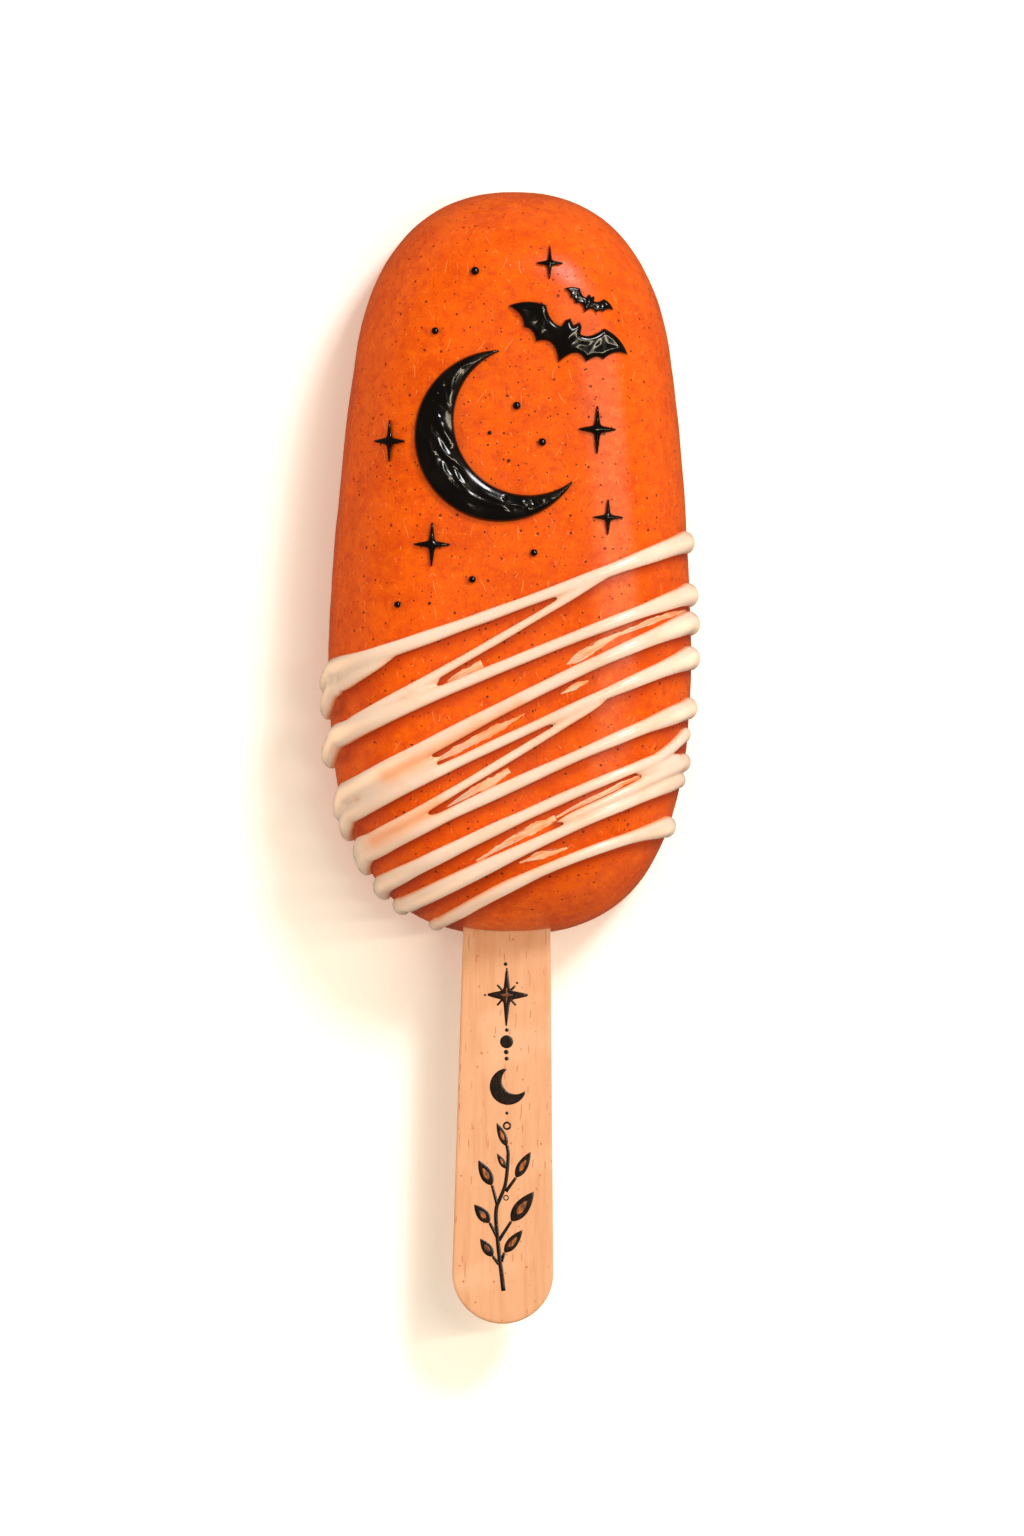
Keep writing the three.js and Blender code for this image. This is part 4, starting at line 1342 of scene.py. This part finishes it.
def star_outline(at, arms):
    """Four arms, from the right one anticlockwise."""
    parts = []
    for quarter in range(4):
        length, following = arms[quarter], arms[(quarter + 1) % 4]
        handles = [STAR_TIP, STAR_HANDLE, STAR_HANDLE[::-1], STAR_TIP[::-1]]
        curve = bezier(handles, STAR_STEPS) * (length, following)
        parts.append(turned(curve, 90 * quarter))
    return np.concatenate(parts) + at


def star_top(flat, edge):
    return STAR_EDGE + STAR_RISE * rounded_edge(edge, STAR_REACH)


def star_body(star):
    arms = [star["side"], star["up"], star["side"], star["down"]]
    outline = star_outline(star["at"], arms)
    return relief_body(outline, star_top, face_height, RELIEF_ROOT, STAR_NET)


star_piece = relief_piece("chocolate_stars", [star_body(star) for star in STARS])

# %% [markdown]
# ## Beads
# The beads are small balls of black chocolate, a little squashed. They repeat, so Geometry
# Nodes put one sphere on each of a few points, and scale it by the half width that the point
# carries. Copies made one by one would each have to be changed if the ball changes.

# %% Beads
BEAD_LIFT = 0.3  # of a bead's middle over the skin, against its diameter
BEAD_SEGMENTS = 28
BEAD_RINGS = 14
BEAD_SQUASH = 0.92
BEADS = [  # a place on the face, and a diameter
    (-5.0, 37.1, 1.07),
    (-10.0, 29.4, 0.92),
    (0.5, 20.0, 1.02),
    (3.8, 15.4, 1.02),
    (2.9, 1.3, 0.92),
    (-4.9, -2.2, 0.92),
    (-14.4, -5.5, 0.85),
    (-2.9, 16.5, 0.5),
    (-0.4, 13.0, 0.38),
    (-10.3, -5.3, 0.36),
]


def bead_tree():
    tree = bpy.data.node_groups.new("beads_on_points", "GeometryNodeTree")
    group_input(tree, "Places", "NodeSocketGeometry")
    group_input(tree, "Segments", "NodeSocketInt", 24)
    group_input(tree, "Squash", "NodeSocketFloat", 1.0)
    group_input(tree, "Material", "NodeSocketMaterial")
    tree.interface.new_socket("Beads", in_out="OUTPUT", socket_type="NodeSocketGeometry")
    outside = add_node(tree, "NodeGroupInput")
    inputs = {"Segments": outside.outputs["Segments"], "Rings": BEAD_RINGS, "Radius": 1.0}
    ball = add_node(tree, "GeometryNodeMeshUVSphere", inputs)
    scale = add_node(tree, "ShaderNodeCombineXYZ", {0: 1.0, 1: 1.0, 2: outside.outputs["Squash"]})
    inputs = {"Geometry": ball.outputs[0], "Scale": scale.outputs[0]}
    drop = add_node(tree, "GeometryNodeTransform", inputs)
    inputs = {
        "Points": outside.outputs["Places"],
        "Instance": drop.outputs[0],
        "Scale": named(tree, "half_width", "FLOAT"),
    }
    put = add_node(tree, "GeometryNodeInstanceOnPoints", inputs)
    finish_tree(tree, put.outputs[0])
    return tree


bead_rows = np.array(BEADS)
bead_flat, bead_sizes = bead_rows[:, :2], bead_rows[:, 2]
bead_places = np.column_stack([bead_flat, face_height(bead_flat) + BEAD_LIFT * bead_sizes])
bead_parts = [
    (place[None], np.array([size / 2]), np.zeros((1, 3)))
    for place, size in zip(bead_places, bead_sizes)
]
chocolate_beads = line_mesh("chocolate_beads", bead_parts)
grow(chocolate_beads, bead_tree(), {"Segments": BEAD_SEGMENTS, "Squash": BEAD_SQUASH})

# %% [markdown]
# ## Black chocolate
# It is nearly black, with a warm cast, and polished. Its look comes almost wholly from what it
# mirrors, so the roughness matters more than the colour: low, but uneven, with fine handling
# marks in the bump. Perfectly even gloss would look like glass.

# %% Black chocolate
BLACK = screen_colour(7, 5, 4)
BLACK_WORN = screen_colour(14, 10, 8)


def black_chocolate():
    material, tree, shader = new_material("black_chocolate")
    clouds = cloudy(tree, object_place(tree), scale=320.0, detail=2.0, roughness=0.5)
    look = {
        "Base Color": blended(tree, stepped(tree, clouds, 0.4, 0.7), BLACK, BLACK_WORN),
        "Roughness": stepped(tree, clouds, 0.3, 0.7, low=0.12, high=0.2),
        "Normal": bumpy(tree, clouds, strength=0.2, reach=0.04),
        "Specular IOR Level": 0.36,
    }
    fill_inputs(tree, shader, look)
    return material


black_material = black_chocolate()
settle(moon_relief, black_material, "moon")
for piece, bat in zip(bat_pieces, BATS):
    settle(piece, black_material, bat["name"])
settle(star_piece, black_material, "coated_cake")
settle(chocolate_beads, black_material, "coated_cake")

# %% [markdown]
# ## Smears between the strands
# The bag dragged thin films of chocolate along with some strands. They are so thin that the
# orange shows through, and their edges are ragged. A film is a band along a line, with noise
# on both its edges, made by the same low relief as the toppings but only a few hundredths of a
# millimetre tall. On each film lie a few streaks where more of the chocolate stayed: narrower
# and taller bands that run along it, of the same white chocolate as the drizzle.

# %% Films
FILM_RISE = 0.05
FILM_ROUNDING = 0.15
FILM_SUNK = 0.005  # of its very edge in the skin
FILM_STEP = 0.16
FILM_RAGGED = 0.65
FILM_NET = 0.22
RIBBON_STEPS = 60
RAGGED_WAVES = [(2.2, 1.0), (0.6, 0.6)]  # each with its wavelength and its share
NARROWEST = 0.03
EDGES_APART = 9.0  # how far off the middle of the noise each edge reads it
SMEAR_ROOT = 0.1
SMEAR_SEED = 11
STREAK_SEED = 5
STREAK_PLACES = 9
STREAK_RISE = 0.13
STREAK_ROUNDING = 0.09
STREAK_WIDTHS = [0.05, 0.16, 0.2, 0.16, 0.05]
STREAK_STEP = 0.12
STREAK_NET = 0.1
STREAK_SPREAD = 0.85  # of the outer streaks, against the film's half width
STREAK_WANDER = 0.12
STREAK_START = (0.0, 0.3)  # between which shares of the film's length a streak starts
STREAK_END = (0.7, 1.0)
STREAK_THICKNESS = 0.45  # what the white chocolate reads for them
FILMS = [  # a line, the widths along it, and the number of streaks
    ([(-8.0, -15.3), (-5.7, -14.0), (-3.5, -12.9)], [0.1, 0.9, 0.9], 3),
    ([(7.2, -12.9), (8.7, -12.0), (11.1, -10.4), (14.1, -8.8)], [0.1, 1.1, 1.2, 0.3], 4),
    ([(13.0, -9.4), (17.4, -7.45), (20.4, -6.4), (22.4, -5.8)], [0.2, 0.7, 0.6, 0.3], 3),
    ([(6.5, -16.6), (8.2, -15.8), (10.0, -14.9)], [0.2, 0.7, 0.3], 2),
    (
        [(-10.1, -25.8), (-7.1, -24.2), (-4.1, -22.5), (-1.2, -21.0), (2.0, -19.2)],
        [0.2, 0.7, 1.0, 0.9, 0.1],
        4,
    ),
    ([(-7.8, -31.2), (-4.8, -29.3), (-2.2, -27.9), (0.1, -26.4)], [0.1, 0.8, 1.2, 0.9], 4),
    ([(-4.0, -38.1), (-0.6, -36.0), (2.7, -34.1), (6.1, -32.5)], [0.3, 0.6, 1.2, 0.7], 4),
    ([(6.1, -32.4), (10.2, -30.2), (14.7, -28.0), (18.4, -26.3)], [0.3, 0.5, 0.6, 0.3], 3),
    ([(1.5, -38.2), (4.3, -37.2), (7.6, -36.2)], [0.3, 1.0, 0.3], 3),
]


def ribbon(line, widths, step, ragged=0.0, seed=0):
    """The outline of a band along a line, with a ragged edge if asked."""
    fine = np.linspace(0, len(line) - 1, RIBBON_STEPS)
    curve = smooth_curve(fine, line)
    width = np.interp(fine, range(len(widths)), widths)
    travelled = travelled_along(curve)
    wanted = np.linspace(0, travelled[-1], max(4, int(travelled[-1] / step)))
    middle = sampled(curve, travelled, wanted)
    half = np.interp(wanted, travelled, width) / 2
    aside = aside_of(middle)
    sides = []
    for side in (-1, 1):
        spread = half.copy()
        if ragged:
            edge = np.full(len(wanted), EDGES_APART * side)
            along = np.column_stack([wanted, edge, wanted * 0])
            rough = sum(share * noise_at(along, wave, seed) for wave, share in RAGGED_WAVES)
            spread = np.maximum(spread * (1 + ragged * rough), NARROWEST)
        sides.append(middle + aside * (side * spread)[:, None])
    return np.concatenate([sides[0], sides[1][::-1]])


def film_top(flat, edge):
    return FILM_RISE * rounded_edge(edge, FILM_ROUNDING) - FILM_SUNK


def streak_top(flat, edge):
    return STREAK_RISE * rounded_edge(edge, STREAK_ROUNDING)


def streak_outline(line, widths, side, start, end):
    """A thin streak along part of a film, at a share of its half width to one side."""
    fine = np.linspace(start, end, STREAK_PLACES) * (len(line) - 1)
    middle = smooth_curve(fine, line)
    half = np.interp(fine, range(len(widths)), widths) / 2
    beside = middle + aside_of(middle) * (side * half)[:, None]
    return ribbon(beside, STREAK_WIDTHS, STREAK_STEP)


def streak_outlines(film, chance):
    line, widths, count = film
    for side in np.linspace(-STREAK_SPREAD, STREAK_SPREAD, count):
        start = chance.uniform(*STREAK_START)
        end = chance.uniform(*STREAK_END)
        side += chance.uniform(-STREAK_WANDER, STREAK_WANDER)
        yield streak_outline(line, widths, side, start, end)


film_bodies = []
streak_bodies = []
chance = random.Random(STREAK_SEED)
for seed, film in enumerate(FILMS, SMEAR_SEED):
    outline = ribbon(film[0], film[1], FILM_STEP, FILM_RAGGED, seed)
    film_bodies.append(relief_body(outline, film_top, face_height, SMEAR_ROOT, FILM_NET))
    for streak in streak_outlines(film, chance):
        streak_bodies.append(relief_body(streak, streak_top, face_height, SMEAR_ROOT, STREAK_NET))
drizzle_films = relief_piece("drizzle_films", film_bodies)
drizzle_streaks = relief_piece("drizzle_streaks", streak_bodies)
streak_points = len(drizzle_streaks.data.vertices)
keep_attribute(drizzle_streaks, "thickness", np.full(streak_points, STREAK_THICKNESS))
settle(drizzle_streaks, white_material, "coated_cake")

# %% [markdown]
# ## Thin chocolate
# A film's colour lies between cream and the orange below it, in fine streaks that run the way
# the bag went. Noise that is stretched along that way draws them.

# %% Chocolate that the orange shows through
THIN_PEACH = screen_colour(226, 128, 74)
THIN_CREAM = screen_colour(224, 168, 134)
SMEAR_WAY = (0, 0, math.radians(27))  # the way that the streaks in a film run
SMEAR_SIZE = (0.004, 0.0004, 0.003)  # and how large they are


def thin_chocolate():
    """White chocolate so thin that the orange shows through in streaks."""
    material, tree, shader = new_material("thin_chocolate")
    inputs = {"Vector": object_place(tree), "Rotation": SMEAR_WAY, "Scale": SMEAR_SIZE}
    streaked = add_node(tree, "ShaderNodeMapping", inputs, vector_type="TEXTURE").outputs[0]
    streaks = cloudy(tree, streaked, scale=1.0, detail=3.0, roughness=0.6)
    look = {
        "Base Color": blended(tree, stepped(tree, streaks, 0.35, 0.62), THIN_PEACH, THIN_CREAM),
        "Roughness": 0.35,
        "Normal": bumpy(tree, streaks, strength=0.4, reach=0.06),
    }
    fill_inputs(tree, shader, look)
    return material


settle(drizzle_films, thin_chocolate(), "coated_cake")

# %% [markdown]
# ## The stick
# A flat birch stick with rounded ends and edges, a little wider at its free end. It is another
# stack of rings: each follows the stick's shape, drawn in by its edge's rounding. It reaches
# into the bar, as a real one does.

# %% Stick
STICK_TIP_Y = -97.1
STICK_TIP_RADIUS = 6.45
STICK_ROOT_RADIUS = 4.8
STICK_ROOT_Y = -3.6
STICK_THICK = 2
STICK_MIDDLE_Z = 9.6
STICK_ROUNDING = 0.38
STICK_SIDE_STEPS = 90
STICK_ARC_STEPS = 40
STICK_EDGE_STEPS = 6
STICK_FLAT_RINGS = [4.2, 3.4, 2.4, 1.2]  # how far in the rings on its two faces lie


def stick_outline(grow_by):
    """The stick's flat shape, anticlockwise, moved outwards by a length."""
    tip, root = STICK_TIP_RADIUS + grow_by, STICK_ROOT_RADIUS + grow_by
    tip_y, root_y = STICK_TIP_Y + STICK_TIP_RADIUS, STICK_ROOT_Y - STICK_ROOT_RADIUS
    over = np.linspace(0, math.pi, STICK_ARC_STEPS)
    under = over + math.pi
    root_arc = np.column_stack([root * np.cos(over), root_y + root * np.sin(over)])
    tip_arc = np.column_stack([tip * np.cos(under), tip_y + tip * np.sin(under)])
    down = bezier([root_arc[-1], tip_arc[0]], STICK_SIDE_STEPS)[1:-1]
    up = bezier([tip_arc[-1], root_arc[0]], STICK_SIDE_STEPS)[1:-1]
    return np.concatenate([root_arc, down, tip_arc, up])


def stick_rings():
    half = STICK_THICK / 2
    turns = np.linspace(0, math.pi / 2, STICK_EDGE_STEPS)
    insets = [STICK_ROUNDING * (1 - math.sin(turn)) for turn in turns]
    heights = [STICK_ROUNDING * (1 - math.cos(turn)) - half for turn in turns]
    lower = list(zip(insets, heights))
    upper = [(inset, -height) for inset, height in lower[::-1]]
    back = [(inset, -half) for inset in STICK_FLAT_RINGS]
    front = [(inset, half) for inset in STICK_FLAT_RINGS[::-1]]
    made = []
    for inset, height in back + lower + upper + front:
        flat = stick_outline(-inset)
        made.append(np.column_stack([flat, np.full(len(flat), STICK_MIDDLE_Z + height)]))
    return made


def capped(rings):
    """Ring faces, with a cap on the first and the last ring."""
    size = len(rings[0])
    caps = [list(range(size))[::-1], [(len(rings) - 1) * size + i for i in range(size)]]
    return ring_faces(len(rings), size) + caps


stick_stack = stick_rings()
wood_stick = mesh_piece("wood_stick", np.concatenate(stick_stack), capped(stick_stack))

# %% [markdown]
# ## Birch
# Birch is pale and fine grained. Long soft streaks run down the stick, made by noise that is
# stretched along it, and there are small brown flecks and short dark dashes. The bump follows
# the grain.

# %% Wood
BIRCH = screen_colour(205, 152, 114)
BIRCH_DEEP = screen_colour(195, 136, 96)
BIRCH_PALE = screen_colour(209, 164, 130)
FLECK = screen_colour(176, 88, 40)
BIRCH_TINTS = [  # a noise, where the tint starts and is full, its share and its colour
    ("long_grain", 0.4, 0.68, 0.7, BIRCH_DEEP),
    ("clouds", 0.5, 0.3, 0.6, BIRCH_PALE),
    ("fibres", 0.58, 0.75, 0.55, BIRCH_DEEP),
    ("fibres", 0.42, 0.28, 0.5, BIRCH_PALE),
]
LONG_GRAIN = (1.1, 0.07, 1.0)  # how fine the noise is across, along and through the stick
FIBRES = (7.0, 0.35, 5.0)
SHORT_DASHES = (2.4, 1.2, 0.1, 0.6, 3.0, 0.25)  # in the order of the scratches above
LONG_DASHES = (5.3, 2.6, 0.1, 0.6, 29.0, 0.2)
FLECKS = (2.0, 0.13, 0.5, 11.0)  # in the order of the specks above
TO_MM = (1000.0, 1000.0, 1000.0)


def birch():
    material, tree, shader = new_material("birch")
    in_mm = vectors(tree, "MULTIPLY", object_place(tree), TO_MM)
    in_grain = vectors(tree, "MULTIPLY", in_mm, LONG_GRAIN)
    in_fibres = vectors(tree, "MULTIPLY", in_mm, FIBRES)
    long_grain = cloudy(tree, in_grain, scale=1.0, detail=4.0, roughness=0.6)
    fibres = cloudy(tree, in_fibres, scale=1.0, detail=3.0, roughness=0.6)
    clouds = cloudy(tree, in_mm, scale=0.14, detail=2.0)
    noises = {"long_grain": long_grain, "fibres": fibres, "clouds": clouds}
    dashes = scratches(tree, in_mm, *SHORT_DASHES)
    long_dashes = scratches(tree, in_mm, *LONG_DASHES)
    marks = largest(tree, dashes, specks(tree, in_mm, *FLECKS), long_dashes)
    relief = weighted(tree, [(fibres, 1.0), (marks, -0.5)])
    colour = tinted(tree, noises, BIRCH, BIRCH_TINTS)
    look = {
        "Base Color": marked(tree, colour, [(marks, 0.75, FLECK)]),
        "Roughness": stepped(tree, fibres, 0.3, 0.7, low=0.5, high=0.66),
        "Normal": bumpy(tree, relief, strength=0.3, reach=0.06),
    }
    fill_inputs(tree, shader, look)
    return material


settle(wood_stick, birch(), "stick")

# %% [markdown]
# ## The burnt ornament
# A hot pen drew a star, a row of dots, a small moon and a leafy sprig on the wood. Each mark is
# a low, glossy, nearly black body on the stick's face, from the same low relief. The hearts of
# the star and of the leaves are a lighter brown, where the pen only browned the wood.

# %% Ornament on the stick
STICK_TOP = STICK_MIDDLE_Z + STICK_THICK / 2
STICK_STAR = (0.06, -55.1)
STICK_STAR_ARMS = (2.72, 3.43, 2.41, 3.97)
TICKS = [(1.16, -53.93), (-1.14, -53.84), (-1.12, -56.45), (1.26, -56.42)]
DOTS = [
    (1.4, -53.56, 0.13),
    (-0.1, -51.17, 0.2),
    (-2.68, -55.15, 0.12),
    (0.15, -59.59, 0.2),
    (0.14, -61.09, 0.7),
    (0.11, -62.4, 0.25),
    (0.17, -63.24, 0.22),
    (0.29, -70.19, 0.17),
]
DOT_SPREAD = 1.2
STICK_MOON_OUTER = ((0.4, -66.8), 2.35)
STICK_MOON_INNER = ((1.35, -66.0), 1.77)
RINGS = [((0.32, -71.81), 0.42, 0.26), ((0.3, -81.0), 0.3, 0.14)]
STEM = [
    (0.11, -92.9), (-0.21, -90.37), (-0.42, -89.0), (-0.74, -86.09), (-0.96, -83.74), (-0.89, -82.17),
    (-0.51, -81.2), (0.15, -79.43), (0.42, -77.28), (0.5, -75.33), (0.33, -74.35),
]
LEAVES = [
    {"base": (0.33, -74.45), "tip": (-1.01, -71.44), "width": 1.05, "stalk": None},
    {"base": (0.25, -77.29), "tip": (-0.93, -75.35), "width": 0.8, "stalk": None},
    {"base": (-1.51, -79.45), "tip": (-3.29, -76.25), "width": 1.55, "stalk": (-0.79, -81.98)},
    {"base": (1.52, -78.43), "tip": (3.37, -75.09), "width": 1.4, "stalk": (0.26, -80.21)},
    {"base": (0.99, -84.01), "tip": (3.87, -80.16), "width": 1.95, "stalk": (-0.55, -86.47)},
    {"base": (-1.75, -84.23), "tip": (-3.78, -81.91), "width": 1.5, "stalk": (-0.74, -86.09)},
    {"base": (0.16, -88.01), "tip": (2.47, -85.07), "width": 1.4, "stalk": (-0.22, -89.19)},
    {"base": (-1.3, -88.53), "tip": (-2.95, -86.26), "width": 1.3, "stalk": (-0.51, -89.49)},
]
MARK_RISE = 0.07
HEART_RISE = 0.1
MARK_ROUNDING = 0.16
MARK_NET = 0.16
MARK_ROOT = 0.1
MARK_STEP = 0.15
TICK_WIDTHS = [0.3, 0.26]
TICK_START = 0.3  # a tick starts at this share of its way out from the star
RING_STEP = 0.1
STEM_STEP = 0.2
STEM_WIDTHS = (0.56, 0.42)
STALK_WIDTHS = [0.46, 0.36]
STICK_MOON_STEPS = 60
STICK_MOON_TIP = 0.05
DOT_CORNERS = 28
RING_CORNERS = 13
LEAF_STEPS = 20
LEAF_CURVE = ((0.2, 0.72), (0.62, 0.6))  # two handles of a leaf's side, how far along and out
HEART_INSETS = (0.45, 0.55)  # how what a heart lacks in length is shared by its two ends
LEAF_HEART = 0.5  # size of a leaf's heart against the leaf
STAR_HEART = 0.36


def disc(at, radius, count):
    angle = np.linspace(0, 2 * math.pi, count, endpoint=False)
    return np.add(at, radius * np.column_stack([np.cos(angle), np.sin(angle)]))


def leaf_outline(base, tip, width, shrink=1.0):
    """A pointed oval from base to tip, widest nearer the base."""
    base, tip = np.array(base), np.array(tip)
    along = tip - base
    aside = np.array([-along[1], along[0]]) / np.hypot(*along) * width * shrink
    start = base + along * (1 - shrink) * HEART_INSETS[0]
    end = tip - along * (1 - shrink) * HEART_INSETS[1]
    low, high = [start + share * (end - start) for share, _ in LEAF_CURVE]
    low_out, high_out = [aside * out for _, out in LEAF_CURVE]
    right = bezier([start, low - low_out, high - high_out, end], LEAF_STEPS)
    left = bezier([end, high + high_out, low + low_out, start], LEAF_STEPS)
    return np.concatenate([right[:-1], left[:-1]])


def on_stick(flat):
    return np.full(len(flat), float(STICK_TOP))


def mark(outline, rise=MARK_RISE):
    def top(flat, edge):
        return rise * rounded_edge(edge, MARK_ROUNDING)

    return relief_body(outline, top, on_stick, MARK_ROOT, MARK_NET)


def ornament_marks():
    marks = [mark(star_outline(STICK_STAR, STICK_STAR_ARMS))]
    for tick in TICKS:
        start = np.add(STICK_STAR, np.subtract(tick, STICK_STAR) * TICK_START)
        marks.append(mark(ribbon([start, tick], TICK_WIDTHS, MARK_STEP)))
    marks += [mark(disc((x, y), radius * DOT_SPREAD, DOT_CORNERS)) for x, y, radius in DOTS]
    small_moon = crescent(STICK_MOON_OUTER, STICK_MOON_INNER, STICK_MOON_STEPS, STICK_MOON_TIP)
    marks.append(mark(small_moon))
    for at, radius, width in RINGS:
        round_line = disc(at, radius, RING_CORNERS)
        closed_line = np.concatenate([round_line, round_line[:1]])
        marks.append(mark(ribbon(closed_line, [width, width], RING_STEP)))
    marks.append(mark(ribbon(STEM, np.linspace(*STEM_WIDTHS, len(STEM)), STEM_STEP)))
    for leaf in LEAVES:
        marks.append(mark(leaf_outline(leaf["base"], leaf["tip"], leaf["width"])))
        if leaf["stalk"] is not None:
            marks.append(mark(ribbon([leaf["stalk"], leaf["base"]], STALK_WIDTHS, MARK_STEP)))
    return marks


def ornament_hearts():
    hearts = [leaf_outline(leaf["base"], leaf["tip"], leaf["width"], LEAF_HEART) for leaf in LEAVES]
    hearts.append(star_outline(STICK_STAR, [arm * STAR_HEART for arm in STICK_STAR_ARMS]))
    return [mark(heart, HEART_RISE) for heart in hearts]


stick_ornament = relief_piece("stick_ornament", ornament_marks())
ornament_hearts_piece = relief_piece("ornament_hearts", ornament_hearts())

# %% [markdown]
# ## Burnt wood
# Where the pen burnt the wood it is nearly black, with brown streaks between the fibres. The
# hearts are only browned. One function makes both materials from a darker and a lighter
# colour, so the streaks are of the same kind.

# %% Burnt and browned wood
BURNT_BLACK = screen_colour(12, 6, 4)
BURNT_DARK = screen_colour(40, 18, 8)
BROWNED_DARK = screen_colour(74, 36, 14)
BROWNED_LIGHT = screen_colour(170, 96, 44)
BURNT_GRAIN = (2600.0, 900.0, 900.0)


def burnt(name, dark, light, roughness):
    material, tree, shader = new_material(name)
    streaked = vectors(tree, "MULTIPLY", object_place(tree), BURNT_GRAIN)
    streaks = cloudy(tree, streaked, scale=1.0, detail=3.0, roughness=0.6)
    look = {
        "Base Color": blended(tree, stepped(tree, streaks, 0.38, 0.68), dark, light),
        "Roughness": roughness,
        "Normal": bumpy(tree, streaks, strength=0.3, reach=0.04),
    }
    fill_inputs(tree, shader, look)
    return material


burnt_dark = burnt("burnt_dark", BURNT_BLACK, BURNT_DARK, 0.26)
burnt_brown = burnt("burnt_brown", BROWNED_DARK, BROWNED_LIGHT, 0.35)
settle(stick_ornament, burnt_dark, "stick")
settle(ornament_hearts_piece, burnt_brown, "stick")

# %% [markdown]
# ## Floor and light
# The bar lies on a plain pale table under soft studio light. The key lamp stands high at the
# upper right. A long narrow lamp at the right, a little warm, gives the sheen along that side.
# A warm card at the left lights the shaded sides of the loops, and isn't mirrored. The world
# fills the shade, and little of it shows in reflections, so that the colours stay deep.
# The floor isn't part of the object.

# %% Floor and lamps
FLOOR_SIZE = 6.0
FLOOR_COLOUR = (0.97, 0.95, 0.93, 1)
KEY_WAY = (0.43, 0.56, 0.708)
KEY_SIZE = (0.2, 0.2)
KEY_POWER = 5.7
STRIP_WAY = (0.57, 0.06, 0.82)
STRIP_SIZE = (0.05, 0.8)
STRIP_POWER = 4.0
STRIP_COLOUR = (1.0, 0.88, 0.66)
CARD_WAY = (-0.86, -0.12, 0.5)
CARD_SIZE = (0.5, 0.5)
CARD_POWER = 3.1
CARD_COLOUR = (1.0, 0.82, 0.62)
LAMP_DISTANCE = 0.9
WORLD_COLOUR = (1.0, 0.89, 0.74)
WORLD_STRENGTH = 0.68
WORLD_GLOSS = 0.14  # how much of the world's light shows in reflections


def floor_piece():
    half = FLOOR_SIZE / 2 / MM
    corners = [(-half, -half, 0), (half, -half, 0), (half, half, 0), (-half, half, 0)]
    floor = mesh_piece("floor", corners, [(0, 1, 2, 3)])
    material, tree, shader = new_material("pale_floor")
    look = {"Base Color": FLOOR_COLOUR, "Roughness": 0.9, "Specular IOR Level": 0.1}
    fill_inputs(tree, shader, look)
    floor.data.materials.append(material)
    floor.visible_glossy = False


def soft_lamp(name, way, size, power, colour=(1.0, 1.0, 1.0)):
    lamp = bpy.data.lights.new(name, "AREA")
    lamp.shape = "RECTANGLE"
    lamp.size, lamp.size_y = size
    lamp.energy = power
    lamp.color = colour
    holder = bpy.data.objects.new(name, lamp)
    holder.location = Vector(way).normalized() * LAMP_DISTANCE
    holder.rotation_euler = Vector(way).to_track_quat("Z", "Y").to_euler()
    bpy.context.collection.objects.link(holder)
    return holder


floor_piece()
soft_lamp("key_lamp", KEY_WAY, KEY_SIZE, KEY_POWER)
soft_lamp("strip_lamp", STRIP_WAY, STRIP_SIZE, STRIP_POWER, STRIP_COLOUR)
card = soft_lamp("card", CARD_WAY, CARD_SIZE, CARD_POWER, CARD_COLOUR)
card.visible_glossy = False
world = bpy.data.worlds.new("pale_room")
world.use_nodes = True
room = world.node_tree
mirrored = add_node(room, "ShaderNodeLightPath").outputs["Is Glossy Ray"]
strength = stepped(room, mirrored, 0.0, 1.0, WORLD_STRENGTH, WORLD_STRENGTH * WORLD_GLOSS)
room.links.new(strength, room.nodes["Background"].inputs["Strength"])
room.nodes["Background"].inputs["Color"].default_value = (*WORLD_COLOUR, 1)
bpy.context.scene.world = world

# %% [markdown]
# ## The camera
# The picture was taken from straight above and far away, so the bar shows hardly any
# perspective. The camera has a very long lens. Its height follows from how many pixels of the
# frame a millimetre takes, and it is turned a little, as the bar lies slightly askew.

# %% Camera
PIXELS_HIGH = 1536
PIXELS_TO_MM = 7.84
SHARP_Z = 14  # the height at which that scale holds
LENS = 900
SENSOR = 36
ASKEW = 0.66
AIM = (0.43, -26.14)
FARTHEST = 100  # metres that the camera can see

lens = bpy.data.cameras.new("camera")
lens.lens = LENS
lens.sensor_width = SENSOR
camera = bpy.data.objects.new("camera", lens)
height = SHARP_Z + PIXELS_HIGH / PIXELS_TO_MM * LENS / SENSOR
camera.location = (AIM[0] * MM, AIM[1] * MM, height * MM)
camera.rotation_euler = (0, 0, math.radians(ASKEW))
lens.clip_end = FARTHEST
bpy.context.collection.objects.link(camera)
bpy.context.scene.camera = camera
bpy.context.scene.view_settings.view_transform = "Standard"
print("the camera stands", round(height), "mm up")
